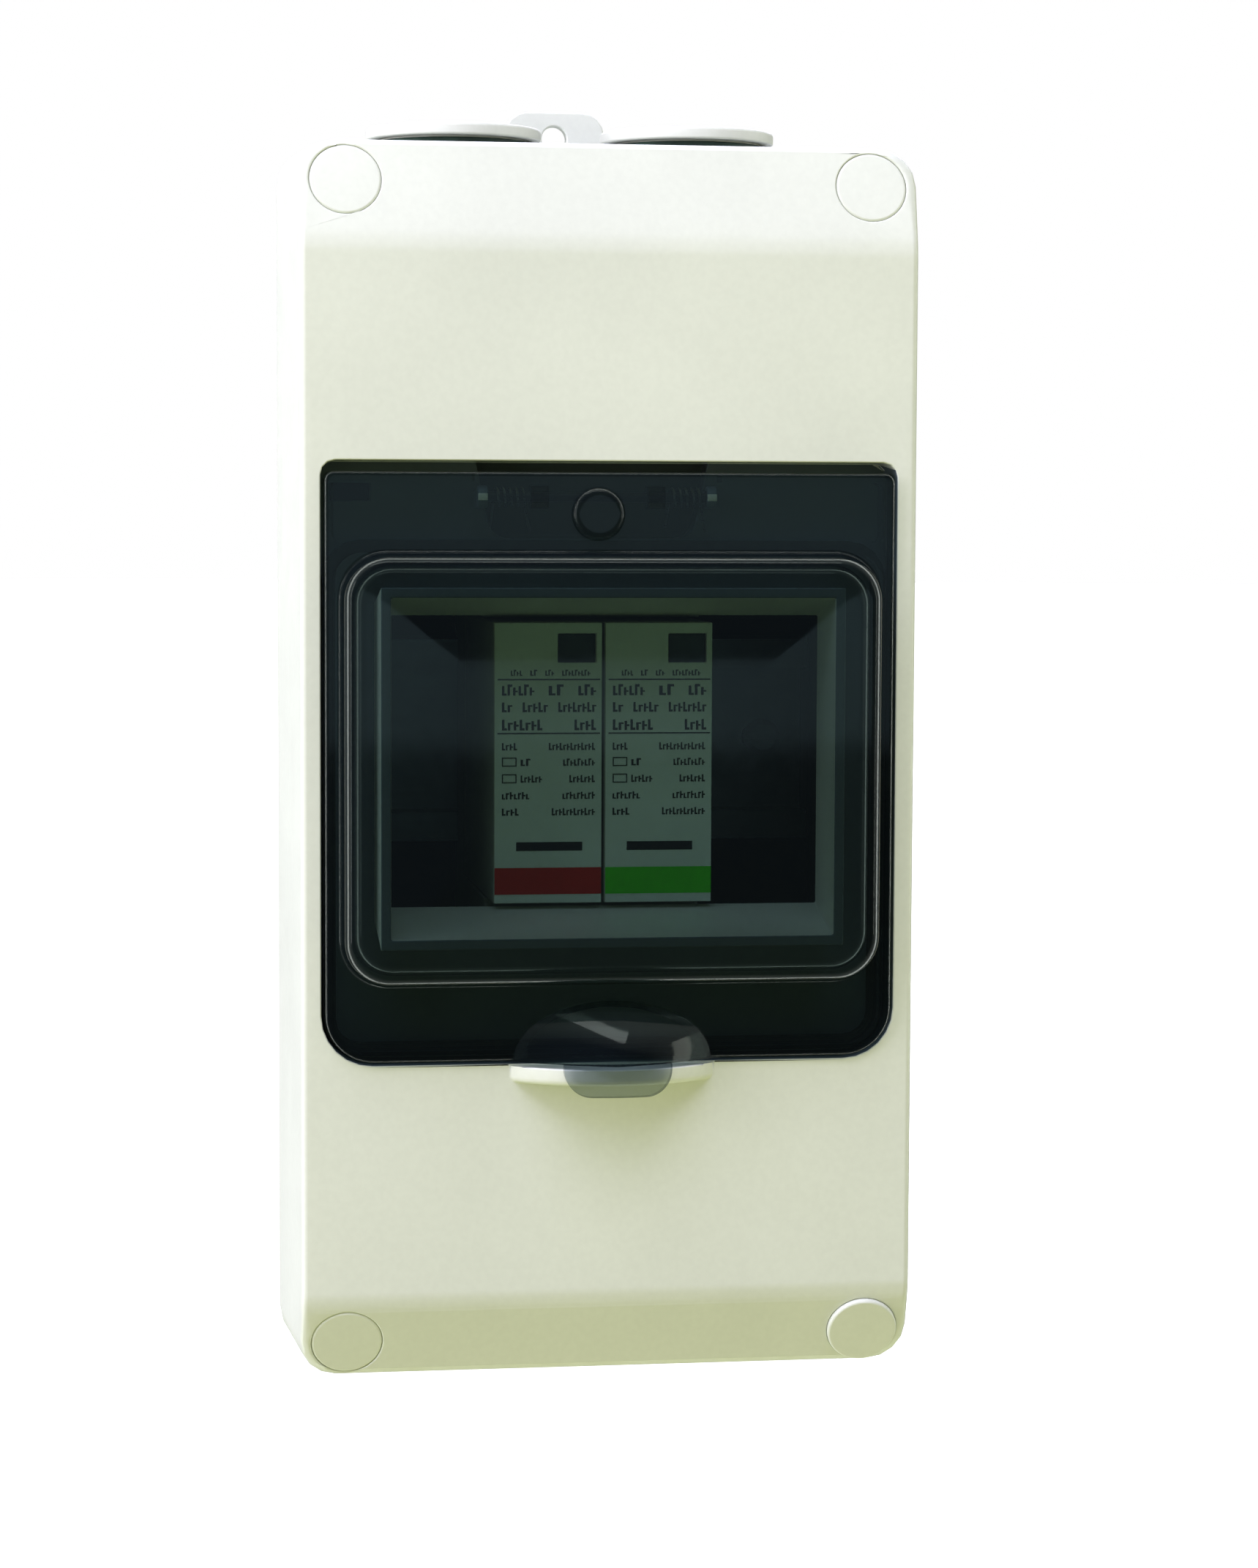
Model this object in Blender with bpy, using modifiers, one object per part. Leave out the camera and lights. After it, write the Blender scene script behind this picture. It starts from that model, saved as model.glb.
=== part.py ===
"""Whole house surge protector: a wall box with a tinted flap window over two plug-in arresters.

Dimensions are in millimetres and MM turns them into metres. +Z is up, the front faces -Y, and
the origin is the middle of the flat back that lies on the wall.
"""

import math

import bmesh
import bpy
from mathutils import Matrix, Vector

MM = 0.001
GAP = 0.3                   # clearance between touching pieces

# Enclosure
HALF_W = 48.6
TOP_Z = 96.9
BOTTOM_Z = -96.3
CORNER_R = 6.0
WALL = 2.4
SEAM_Y = -44.0              # front edge of the base box
FACE_Y = -77.0              # flat front of the cover
FLARE_X = 1.65              # how far the cover widens on each side down to the seam
FLARE_Z = 1.3               # and at its top and bottom
BACK_DRAFT = 0.7            # how far each side of the base box leans in towards the wall
SKIRT_Y = -41.4             # back edge of the cover's skirt round the base box
SLOPE_TOP_Z = 81.5
SLOPE_TOP_DEG = 16.3
SLOPE_BOTTOM_Z = -84.4
SLOPE_BOTTOM_DEG = 22.2
RIM_STEP = 2.0              # height of the step that holds the gasket
SCREW_X = 41.4
SCREW_Z = 91.0

# Cable entries and wall lugs
ENTRY_X = 19.8
ENTRY_Y = -25.0
ENTRY_HOLE_R = 12.7
FLANGE_R = 14.65
FLANGE_Z = 103.5
FLANGE_T = 3.0
SEAL_R = 13.2
PIERCE_R = 4.0
LUG_HALF_W = 8.75
LUG_Z = 108.9
LUG_T = 3.0
LUG_HOLE_Z = 104.3
LUG_HOLE_R = 2.2

# Door and its tray in the cover
TRAY_X = 45.5
TRAY_TOP = 47.8
TRAY_BOTTOM = -46.7
TRAY_FLOOR_Y = -68.4
DOOR_X = 44.95
DOOR_TOP = 46.1
DOOR_BOTTOM = -46.1
DOOR_Y = -78.0              # flat outer face of the door's flange
DOOR_T = 2.0
SKIRT = 6.5                 # depth of the door's rim from its face
BUBBLE_X = 42.9
BUBBLE_TOP = 33.9
BUBBLE_BOTTOM = -34.4
BUBBLE_WALL = 1.6
PIN_Y = -73.9
PIN_Z = 42.2
PIN_R = 0.8
PIN_X = (-20.3, 16.3)
EAR_T = 1.6
KNUCKLES = ((-12.6, -9.8), (5.8, 8.6))
COILS = ((-18.4, -13.4), (9.4, 14.4))
BUTTON_X = -2.3
BUTTON_Z = 39.6
HOOD_X = 0.3
HOOD_Z = -46.25
HOOD_HALF = 16.0
HOOD_H = 9.7
HOOD_D = 8.3
LEDGE_R = 23.4
LEDGE_Y = -83.5
LEDGE_Z = (-49.7, -47.0)
TAB_HALF = 8.5
TAB_BOTTOM = -51.0

# Window tunnel of the cover
WIN_X = 34.9
WIN_FRONT_Y = -81.2
WIN_BACK_Y = -65.9
WIN_FRONT_Z = (-26.5, 26.6)
WIN_BACK_Z = (-22.9, 23.4)
WIN_WALL = 1.6

# Rail and arresters
RAIL_Y = -11.0              # front of the rail's flanges
RAIL_X = 44.0
MODULE_W = 17.45
MODULE_X = (-8.875, 8.875)
NOSE_Y = -68.1
SHOULDER_Y = -55.0
PLUG_BACK_Y = -24.0
HALF_PLUG_Z = 22.4
HALF_BASE_Z = 45.0
FLAG_X = 4.6                # indicator's offset from the middle of its module
FLAG_Z = 18.3

PART = "surge_protector"


def clear_scene():
    for obj in list(bpy.data.objects):
        bpy.data.objects.remove(obj)


def new_collection(name):
    coll = bpy.data.collections.new(name)
    bpy.context.scene.collection.children.link(coll)
    return coll


def material(name, colour, roughness, metallic=0.0, alpha=1.0):
    mat = bpy.data.materials.new(name)
    mat.use_nodes = True
    shader = mat.node_tree.nodes["Principled BSDF"]
    shader.inputs["Base Color"].default_value = (*colour, 1.0)
    shader.inputs["Roughness"].default_value = roughness
    shader.inputs["Metallic"].default_value = metallic
    shader.inputs["Alpha"].default_value = alpha
    mat.diffuse_color = (*colour, alpha)
    return mat


def shell_grey():
    return material("shell_grey", (0.72, 0.73, 0.66), 0.45)


def smoked_clear():
    return material("smoked_clear", (0.03, 0.045, 0.06), 0.08, alpha=0.55)


def black_rubber():
    return material("black_rubber", (0.02, 0.022, 0.02), 0.75)


def soft_grey():
    return material("soft_grey", (0.70, 0.72, 0.66), 0.55)


def spring_steel():
    return material("spring_steel", (0.62, 0.62, 0.60), 0.25, 1.0)


def zinc_steel():
    return material("zinc_steel", (0.66, 0.67, 0.68), 0.35, 1.0)


def copper_tin():
    return material("tinned_copper", (0.72, 0.66, 0.58), 0.3, 1.0)


def module_grey():
    return material("module_grey", (0.60, 0.62, 0.60), 0.5)


def plug_white():
    return material("plug_white", (0.74, 0.75, 0.72), 0.42)


def clip_black():
    return material("clip_black", (0.03, 0.03, 0.03), 0.5)


def flag_green():
    return material("flag_green", (0.02, 0.16, 0.05), 0.4)


def finish(name, bm, mat, coll, origin=(0.0, 0.0, 0.0), smooth=False):
    """Turns millimetre geometry into an object whose origin lies at origin."""
    bmesh.ops.recalc_face_normals(bm, faces=bm.faces)
    bm.transform(Matrix.Translation(-Vector(origin)))
    bm.transform(Matrix.Scale(MM, 4))
    mesh = bpy.data.meshes.new(name)
    bm.to_mesh(mesh)
    bm.free()
    if mat is not None:
        mesh.materials.append(mat)
    for face in mesh.polygons:
        face.use_smooth = smooth
    obj = bpy.data.objects.new(name, mesh)
    obj.location = Vector(origin) * MM
    coll.objects.link(obj)
    return obj


def block(lo, hi, corner=0.0, segments=4, axis=1):
    """Box from lo to hi whose edges along axis are rounded by corner."""
    bm = bmesh.new()
    size = [h - l for l, h in zip(lo, hi)]
    mid = [(h + l) / 2 for l, h in zip(lo, hi)]
    place = Matrix.Translation(mid) @ Matrix.Diagonal((*size, 1.0))
    bmesh.ops.create_cube(bm, size=1.0, matrix=place)
    if corner > 0:
        edges = [e for e in bm.edges if abs((e.verts[0].co - e.verts[1].co)[axis]) > size[axis] / 2]
        bmesh.ops.bevel(bm, geom=edges, offset=corner, segments=segments, profile=0.5,
                        affect="EDGES")
    return bm


def rod(centre, radius, length, axis, segments=24):
    """Cylinder of a given length, centred on centre."""
    bm = bmesh.new()
    place = Matrix.Translation(centre)
    if axis != 2:
        place = place @ Matrix.Rotation(math.pi / 2, 4, "YX"[axis])
    bmesh.ops.create_cone(bm, cap_ends=True, segments=segments, radius1=radius, radius2=radius,
                          depth=length, matrix=place)
    return bm


def round_edges(bm, pick, offset, segments=2):
    """Rounds the edges for which pick(edge) is true."""
    edges = [e for e in bm.edges if len(e.link_faces) == 2 and pick(e)]
    bmesh.ops.bevel(bm, geom=edges, offset=offset, segments=segments, profile=0.5, affect="EDGES")


def trim(bm, point, normal):
    """Cuts off what lies on the side that normal points to, and closes the solid."""
    geom = bm.verts[:] + bm.edges[:] + bm.faces[:]
    res = bmesh.ops.bisect_plane(bm, geom=geom, dist=1e-5, plane_co=point, plane_no=normal,
                                 clear_outer=True)
    rim = [e for e in res["geom_cut"] if isinstance(e, bmesh.types.BMEdge)]
    bmesh.ops.edgenet_fill(bm, edges=rim)


def on_plane(edge, axis, value):
    return all(abs(v.co[axis] - value) < 1e-4 for v in edge.verts)


def runs_along(edge, axis):
    """True for an edge that is parallel to the axis."""
    step = edge.verts[0].co - edge.verts[1].co
    return abs(step[axis]) > 0.999 * step.length


def cut(target, cutter):
    combine(target, cutter, "DIFFERENCE")


def join(target, piece):
    combine(target, piece, "UNION")


def combine(target, piece, operation):
    mod = target.modifiers.new(piece.name, "BOOLEAN")
    mod.operation = operation
    mod.solver = "EXACT"
    mod.object = piece


class Tools:
    """The collection of cutters and the pieces that are joined into others."""

    def __init__(self):
        self.coll = new_collection("cutters")
        self.coll.hide_render = True

    def add(self, name, bm):
        obj = finish("cut_" + name, bm, None, self.coll)
        obj.display_type = "WIRE"
        obj.hide_render = True
        return obj


def side_name(x):
    return "left" if x < 0 else "right"


def corner_name(x, z):
    return ("upper_" if z > 0 else "lower_") + side_name(x)


def screw_places():
    return [(sx * SCREW_X, sz * SCREW_Z) for sz in (1, -1) for sx in (-1, 1)]


def slope_at(z):
    """Y of the cover's front and its tilt in degrees at height z, near a screw."""
    if z > 0:
        return FACE_Y + (z - SLOPE_TOP_Z) * math.tan(math.radians(SLOPE_TOP_DEG)), SLOPE_TOP_DEG
    return FACE_Y + (SLOPE_BOTTOM_Z - z) * math.tan(math.radians(SLOPE_BOTTOM_DEG)), -SLOPE_BOTTOM_DEG


def slope_normal(z):
    tilt = math.radians(slope_at(z)[1])
    return Vector((0.0, -math.cos(tilt), math.sin(tilt)))


# Base box

def rim_block(grow_x, grow_z, y0, y1):
    """Straight prism with the outline of the base box, grown sideways and in height."""
    lo = (-HALF_W - grow_x, y0, BOTTOM_Z - grow_z)
    hi = (HALF_W + grow_x, y1, TOP_Z + grow_z)
    return block(lo, hi, CORNER_R + min(grow_x, 0.0), 4)


def base_box(coll, tools, mat):
    bm = rim_block(0.0, 0.0, SEAM_Y, 0.0)
    for v in bm.verts:
        v.co.x -= math.copysign(BACK_DRAFT * (1.0 - v.co.y / SEAM_Y), v.co.x)
    round_edges(bm, lambda e: on_plane(e, 1, 0.0), 1.6, 2)
    base = finish("base_box", bm, mat, coll)
    cut(base, tools.add("base_room", rim_block(-WALL, -WALL, -60.0, -WALL)))
    cut(base, tools.add("base_step", rim_block(-WALL / 2, -WALL / 2, -60.0, SEAM_Y + RIM_STEP)))
    base_posts(base, tools)
    base_lugs(base, tools)
    for x in (-ENTRY_X, ENTRY_X):
        cut(base, tools.add("entry_" + side_name(x), rod((x, ENTRY_Y, TOP_Z), ENTRY_HOLE_R, 8.0, 2, 32)))
    return base


def base_posts(base, tools):
    top = SEAM_Y + RIM_STEP + 0.4
    for x, z in screw_places():
        name = corner_name(x, z)
        join(base, tools.add("post_" + name, rod((x, (top - 1.0) / 2, z), 4.4, -top - 1.0, 1, 20)))
    for x, z in screw_places():
        name = corner_name(x, z)
        cut(base, tools.add("pilot_" + name, rod((x, -30.0, z), 2.2, 40.0, 1, 16)))
    for sign in (-1, 1):
        name = side_name(sign)
        lo = (sign * 37.0 - 5.0, -3.2, -9.0)
        hi = (sign * 37.0 + 5.0, -1.2, 9.0)
        join(base, tools.add("pad_" + name, block(lo, hi)))
        cut(base, tools.add("pad_hole_" + name, rod((sign * 37.0, -3.2, 0.0), 1.8, 3.6, 1, 16)))


def base_lugs(base, tools):
    for sign in (1, -1):
        name = "top" if sign > 0 else "bottom"
        ends = sorted((sign * 93.5, sign * LUG_Z))
        bm = block((-LUG_HALF_W, -LUG_T - 0.2, ends[0]), (LUG_HALF_W, -0.2, ends[1]))
        round_edges(bm, lambda e, s=sign: on_plane(e, 2, s * LUG_Z) and runs_along(e, 1), 4.0, 4)
        join(base, tools.add("lug_" + name, bm))
        hole = rod((0.0, -2.0, sign * LUG_HOLE_Z), LUG_HOLE_R, 8.0, 1, 32)
        cut(base, tools.add("lug_hole_" + name, hole))


def gasket(coll, tools, mat):
    """Square cord that lies on the step inside the base's rim."""
    y0 = SEAM_Y + 0.1
    y1 = SEAM_Y + RIM_STEP - GAP
    outer = -WALL / 2 - GAP
    inner = -WALL + 0.05
    ring = finish("cover_gasket", rim_block(outer, outer, y0, y1), mat, coll)
    cut(ring, tools.add("gasket_room", rim_block(inner, inner, y0 - 2.0, y1 + 2.0)))
    return ring


# Cable entries

def entry_collar(coll, mat, x):
    """Flanged grommet with a thin pierced membrane, turned about its own axis."""
    top = FLANGE_Z
    profile = [
        (FLANGE_R, top - 0.5), (FLANGE_R, top - FLANGE_T), (ENTRY_HOLE_R - GAP, top - FLANGE_T),
        (ENTRY_HOLE_R - GAP, TOP_Z - WALL - GAP), (ENTRY_HOLE_R + 0.5, TOP_Z - WALL - 1.2),
        (ENTRY_HOLE_R - 1.2, TOP_Z - WALL - 3.5), (10.6, TOP_Z - WALL - 3.5), (10.6, top - 2.6),
        (PIERCE_R, top - 2.2), (PIERCE_R, top - 1.2), (10.9, top - 1.2), (11.8, top), (FLANGE_R - 0.5, top),
    ]
    return turned("entry_collar_" + side_name(x), profile, mat, coll, (x, ENTRY_Y, 0.0), 40)


def entry_seal(coll, mat, x):
    low = TOP_Z + GAP
    high = FLANGE_Z - FLANGE_T - GAP
    profile = [(SEAL_R, high), (SEAL_R + 0.35, (low + high) / 2), (SEAL_R, low), (ENTRY_HOLE_R + 0.1, low),
               (ENTRY_HOLE_R + 0.1, high)]
    return turned("entry_seal_" + side_name(x), profile, mat, coll, (x, ENTRY_Y, 0.0), 40)


def turned(name, profile, mat, coll, origin, steps):
    """Closed ring section (radius, height) turned about the vertical axis through origin."""
    bm = bmesh.new()
    verts = [bm.verts.new((r, 0.0, z)) for r, z in profile]
    for i, v in enumerate(verts):
        bm.edges.new((v, verts[(i + 1) % len(verts)]))
    bmesh.ops.translate(bm, verts=bm.verts, vec=Vector(origin))
    obj = finish(name, bm, mat, coll, origin, smooth=True)
    mod = obj.modifiers.new("turn", "SCREW")
    mod.axis = "Z"
    mod.angle = 2 * math.pi
    mod.steps = steps
    mod.render_steps = steps
    mod.use_merge_vertices = True
    mod.merge_threshold = 0.00001
    mod.use_smooth_shade = True
    return obj


# Rail

def din_rail(coll, tools, mat):
    """Top-hat rail: a folded sheet with its open side on the wall."""
    section = [(-17.5, 0.5), (-13.0, 0.5), (-13.0, 7.0), (13.0, 7.0), (13.0, 0.5), (17.5, 0.5)]
    bm = bmesh.new()
    verts = [bm.verts.new((-RAIL_X, RAIL_Y + y, z)) for z, y in section]
    edges = [bm.edges.new(pair) for pair in zip(verts, verts[1:])]
    out = bmesh.ops.extrude_edge_only(bm, edges=edges)
    moved = [v for v in out["geom"] if isinstance(v, bmesh.types.BMVert)]
    bmesh.ops.translate(bm, verts=moved, vec=(2 * RAIL_X, 0.0, 0.0))
    rail = finish("din_rail", bm, mat, coll)
    sheet = rail.modifiers.new("sheet", "SOLIDIFY")
    sheet.thickness = 1.0 * MM
    sheet.offset = 0.0
    sheet.use_even_offset = True
    for sign in (-1, 1):
        slot = block((sign * 37.0 - 3.5, -8.0, -2.1), (sign * 37.0 + 3.5, 0.0, 2.1), 2.0, 3)
        cut(rail, tools.add("rail_slot_" + side_name(sign), slot))
    return rail


def turned_screw(name, coll, tools, mat, head, shank, at, slot_w):
    """Slotted pan head screw about Y through at; head and shank are (radius, front Y, back Y)."""
    r, front, back = head
    core, _, tip = shank
    section = [(0.0, front), (r * 0.72, front), (r, (front + back) / 2), (r, back),
               (core, back), (core, tip - 0.6), (core - 0.5, tip), (0.0, tip)]
    origin = (at[0], back, at[1])
    bm = bmesh.new()
    verts = [bm.verts.new((origin[0] + r, y, origin[2])) for r, y in section]
    for pair in zip(verts, verts[1:]):
        bm.edges.new(pair)
    screw = finish(name, bm, mat, coll, origin, smooth=True)
    mod = screw.modifiers.new("turn", "SCREW")
    mod.axis = "Y"
    mod.angle = 2 * math.pi
    mod.steps = 16
    mod.render_steps = 16
    mod.use_merge_vertices = True
    mod.merge_threshold = 0.00001
    mod.use_smooth_shade = True
    lo = (at[0] - r - 1.0, front - 1.0, at[1] - slot_w / 2)
    hi = (at[0] + r + 1.0, front + 0.45 * (back - front), at[1] + slot_w / 2)
    cut(screw, tools.add("slot_" + name, block(lo, hi)))
    return screw


def rail_screws(coll, tools, mat):
    for sign in (-1, 1):
        turned_screw("rail_screw_" + side_name(sign), coll, tools, mat, (3.2, -7.0, -4.8),
                     (1.5, -4.8, -1.8), (sign * 37.0, 0.0), 0.9)


# Cover

def shell_form(inset, back_y):
    """Outer form of the cover, or its room when inset is the wall's thickness."""
    lo = (-HALF_W + inset, FACE_Y + inset, BOTTOM_Z + inset)
    hi = (HALF_W - inset, back_y, TOP_Z - inset)
    bm = block(lo, hi, CORNER_R - inset, 4)
    for v in bm.verts:
        run = (v.co.y - FACE_Y) / (SEAM_Y - FACE_Y)
        v.co.x += math.copysign(FLARE_X * run, v.co.x)
        v.co.z += math.copysign(FLARE_Z * run - 0.2 * (1.0 - run), v.co.z)
    for z in (SLOPE_TOP_Z, SLOPE_BOTTOM_Z):
        normal = slope_normal(z)
        point = Vector((0.0, FACE_Y, z)) - normal * inset
        trim(bm, point, normal)
    bmesh.ops.recalc_face_normals(bm, faces=bm.faces)
    return bm


def faces_front(face):
    return face.normal.y < -0.85


def cover(coll, tools, mat):
    bm = shell_form(0.0, SEAM_Y - GAP)
    round_edges(bm, lambda e: on_plane(e, 1, FACE_Y) and runs_along(e, 0), 1.8, 3)
    round_edges(bm, lambda e: faces_front(e.link_faces[0]) != faces_front(e.link_faces[1]), 1.0, 2)
    shell = finish("front_cover", bm, mat, coll)
    join(shell, tools.add("skirt", rim_block(FLARE_X, FLARE_Z, SEAM_Y - GAP - 0.2, SKIRT_Y)))
    cut(shell, tools.add("base_way", rim_block(GAP, GAP, SEAM_Y - GAP, SKIRT_Y + 4.0)))
    cut(shell, tools.add("cover_room", shell_form(WALL, SEAM_Y - 3.6)))
    cut(shell, tools.add("rim_room", rim_block(-WALL, -WALL, SEAM_Y - 4.0, SEAM_Y + 6.0)))
    cover_bosses(shell, tools)
    cover_tray(shell, tools)
    cover_hinge(shell, tools)
    cover_tunnel(shell, tools)
    cover_ledge(shell, tools)
    cover_caps_seats(shell, tools)
    return shell


def cover_bosses(shell, tools):
    for x, z in screw_places():
        front = slope_at(z)[0] + 1.6
        back = SEAM_Y - GAP - 0.4
        boss = rod((x, (front + back) / 2, z), 5.0, back - front, 1, 24)
        join(shell, tools.add("boss_" + corner_name(x, z), boss))


def cover_tray(shell, tools):
    back = TRAY_FLOOR_Y + 1.8
    body = block((-HALF_W + 0.8, FACE_Y + 0.9, TRAY_BOTTOM - 1.8), (HALF_W - 0.8, back, TRAY_TOP + 1.8))
    join(shell, tools.add("tray_body", body))
    bm = block((-TRAY_X, FACE_Y - 6.0, TRAY_BOTTOM), (TRAY_X, TRAY_FLOOR_Y, TRAY_TOP))
    round_edges(bm, lambda e: on_plane(e, 2, TRAY_BOTTOM) and runs_along(e, 1), 8.0, 6)
    round_edges(bm, lambda e: on_plane(e, 2, TRAY_TOP) and runs_along(e, 1), 2.3, 3)
    cut(shell, tools.add("tray_room", bm))
    slot = block((-43.6, TRAY_FLOOR_Y - 1.0, 41.5), (-37.2, back + 1.0, 44.3))
    cut(shell, tools.add("tray_slot", slot))


def hinge_pocket(grow, y0, y1):
    """Trapezium with rounded lower corners behind the door's hinge."""
    lo_x, hi_x = PIN_X[0] - 0.2 - grow, PIN_X[1] + 0.2 + grow
    low, high = 35.7 - grow, TRAY_TOP + grow * 0.8
    bm = block((lo_x, y0, low), (hi_x, y1, high))
    for v in bm.verts:
        if v.co.z < low + 0.1:
            v.co.x += 2.5 if v.co.x < 0 else -2.5
    round_edges(bm, lambda e: on_plane(e, 2, low) and runs_along(e, 1), 2.5 + grow, 3)
    return bm


def cover_hinge(shell, tools):
    join(shell, tools.add("pocket_body", hinge_pocket(1.4, TRAY_FLOOR_Y + 0.6, -63.4)))
    cut(shell, tools.add("pocket_room", hinge_pocket(0.0, TRAY_FLOOR_Y - 1.0, -64.8)))
    for i, x in enumerate((PIN_X[0] - 0.6, PIN_X[1] + 0.6 - EAR_T)):
        arm = block((x + 0.02, PIN_Y, PIN_Z - 1.7), (x + EAR_T - 0.02, -64.2, PIN_Z + 1.0))
        join(shell, tools.add("arm_%d" % i, arm))
        eye = rod((x + EAR_T / 2, PIN_Y, PIN_Z), 1.75, EAR_T, 0, 20)
        join(shell, tools.add("eye_%d" % i, eye))
    mid = (PIN_X[0] + PIN_X[1]) / 2
    hole = rod((mid, PIN_Y, PIN_Z), PIN_R + 0.1, PIN_X[1] - PIN_X[0] + 2.0, 0, 16)
    cut(shell, tools.add("pin_hole", hole))


def tunnel_form(grow, y0, y1):
    """Rectangular funnel that narrows towards the arresters in height only."""
    bm = block((-WIN_X - grow, y0, WIN_FRONT_Z[0] - grow), (WIN_X + grow, y1, WIN_FRONT_Z[1] + grow))
    run = WIN_BACK_Y - WIN_FRONT_Y
    for v in bm.verts:
        i = 0 if v.co.z < 0 else 1
        slope = (WIN_BACK_Z[i] - WIN_FRONT_Z[i]) / run
        v.co.z += slope * (v.co.y - WIN_FRONT_Y)
    return bm


def cover_tunnel(shell, tools):
    join(shell, tools.add("tunnel_body", tunnel_form(WIN_WALL, WIN_FRONT_Y, WIN_BACK_Y)))
    cut(shell, tools.add("tunnel_room", tunnel_form(0.0, WIN_FRONT_Y - 3.0, WIN_BACK_Y + 3.0)))


def cover_ledge(shell, tools):
    """Arched lip under the door's hood."""
    low, high = LEDGE_Z
    bm = rod((HOOD_X, LEDGE_Y + LEDGE_R, (low + high) / 2), LEDGE_R, high - low, 2, 96)
    trim(bm, (0, FACE_Y + 1.0, 0), (0, 1, 0))
    round_edges(bm, lambda e: on_plane(e, 2, low) and not on_plane(e, 1, FACE_Y + 1.0), 1.0, 2)
    join(shell, tools.add("ledge", bm))


def tilted_rod(x, z, depth, proud, radius, segments):
    """Cylinder square to the sloping front at a screw, from proud above it to depth below it."""
    normal = slope_normal(z)
    centre = Vector((x, slope_at(z)[0], z)) + normal * (proud - depth) / 2
    turn = Vector((0, 0, 1)).rotation_difference(normal).to_matrix().to_4x4()
    bm = bmesh.new()
    bmesh.ops.create_cone(bm, cap_ends=True, segments=segments, radius1=radius, radius2=radius,
                          depth=proud + depth, matrix=Matrix.Translation(centre) @ turn)
    return bm


def cover_caps_seats(shell, tools):
    for x, z in screw_places():
        name = corner_name(x, z)
        cut(shell, tools.add("shank_" + name, rod((x, -58.0, z), 2.2, 40.0, 1, 16)))
        cut(shell, tools.add("head_" + name, rod((x, -68.3, z), 4.0, 12.0, 1, 24)))
        cut(shell, tools.add("seat_" + name, tilted_rod(x, z, 1.9, 4.0, 5.65, 48)))


def screw_cap(coll, tools, mat, x, z):
    """Round plug with a short hollow stem that snaps into the screw's recess."""
    name = corner_name(x, z)
    proud = 0.8 if name == "lower_right" else 0.0
    origin = Vector((x, slope_at(z)[0], z))
    bm = tilted_rod(x, z, 1.5 - proud, proud, 5.45, 48)
    normal = slope_normal(z)
    top = origin + normal * proud
    round_edges(bm, lambda e: all(abs((v.co - top).dot(normal)) < 1e-4 for v in e.verts), 0.25, 1)
    cap = finish("screw_cap_" + name, bm, mat, coll, origin, smooth=False)
    stem = tilted_rod(x, z, 3.2 - proud, proud - 1.0, 2.5, 16)
    join(cap, tools.add("stem_" + name, stem))
    cut(cap, tools.add("stem_room_" + name, tilted_rod(x, z, 4.6 - proud, proud - 1.9, 1.6, 12)))
    return cap


def cover_screws(coll, tools, mat):
    for x, z in screw_places():
        turned_screw("cover_screw_" + corner_name(x, z), coll, tools, mat, (3.6, -66.0, -62.6),
                     (1.9, -62.6, -28.0), (x, z), 1.1)


# Door

def ring_points(half_x, low, high, radius, y, segments=5):
    """Rounded rectangle in the plane y, as points in order."""
    points = []
    for cx, cz, start in ((half_x - radius, high - radius, 0), (radius - half_x, high - radius, 90),
                          (radius - half_x, low + radius, 180), (half_x - radius, low + radius, 270)):
        for i in range(segments + 1):
            a = math.radians(start + 90.0 * i / segments)
            points.append((cx + radius * math.cos(a), y, cz + radius * math.sin(a)))
    return points


def loft(rings):
    """Solid through rings of equal length, closed at both ends."""
    bm = bmesh.new()
    rows = [[bm.verts.new(p) for p in ring] for ring in rings]
    n = len(rows[0])
    for a, b in zip(rows, rows[1:]):
        for i in range(n):
            bm.faces.new((a[i], a[(i + 1) % n], b[(i + 1) % n], b[i]))
    bm.faces.new(rows[0])
    bm.faces.new(rows[-1])
    bmesh.ops.triangulate(bm, faces=[f for f in bm.faces if len(f.verts) == 4])
    return bm


def bubble_form(wall, base_y):
    """The raised window of the door: rounded sides and a slightly domed face."""
    steps = ((0.0, 1.0), (0.35, -3.0), (1.1, -4.5), (2.0, -5.2), (3.5, -5.6), (12.0, -6.6), (22.0, -7.1))
    levels = [(0.0, base_y)] + [(inset, DOOR_Y + y + wall) for inset, y in steps]
    rings = []
    for inset, y in levels:
        total = wall + inset
        radius = max(7.5 - 0.6 * total, 1.5)
        rings.append(ring_points(BUBBLE_X - total, BUBBLE_BOTTOM + total, BUBBLE_TOP - total, radius, y))
    return loft(rings)


def hood_form(wall, back_y):
    """Quarter of an ellipsoid that stands on the door's lower flange."""
    bm = bmesh.new()
    size = (HOOD_HALF - wall, HOOD_D - wall, HOOD_H - wall)
    place = Matrix.Translation((HOOD_X, DOOR_Y + 1.0, HOOD_Z)) @ Matrix.Diagonal((*size, 1.0))
    bmesh.ops.create_uvsphere(bm, u_segments=32, v_segments=16, radius=1.0, matrix=place)
    trim(bm, (0, back_y, 0), (0, 1, 0))
    if wall == 0.0:
        trim(bm, (0, 0, HOOD_Z), (0, 0, -1))
    return bm


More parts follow.
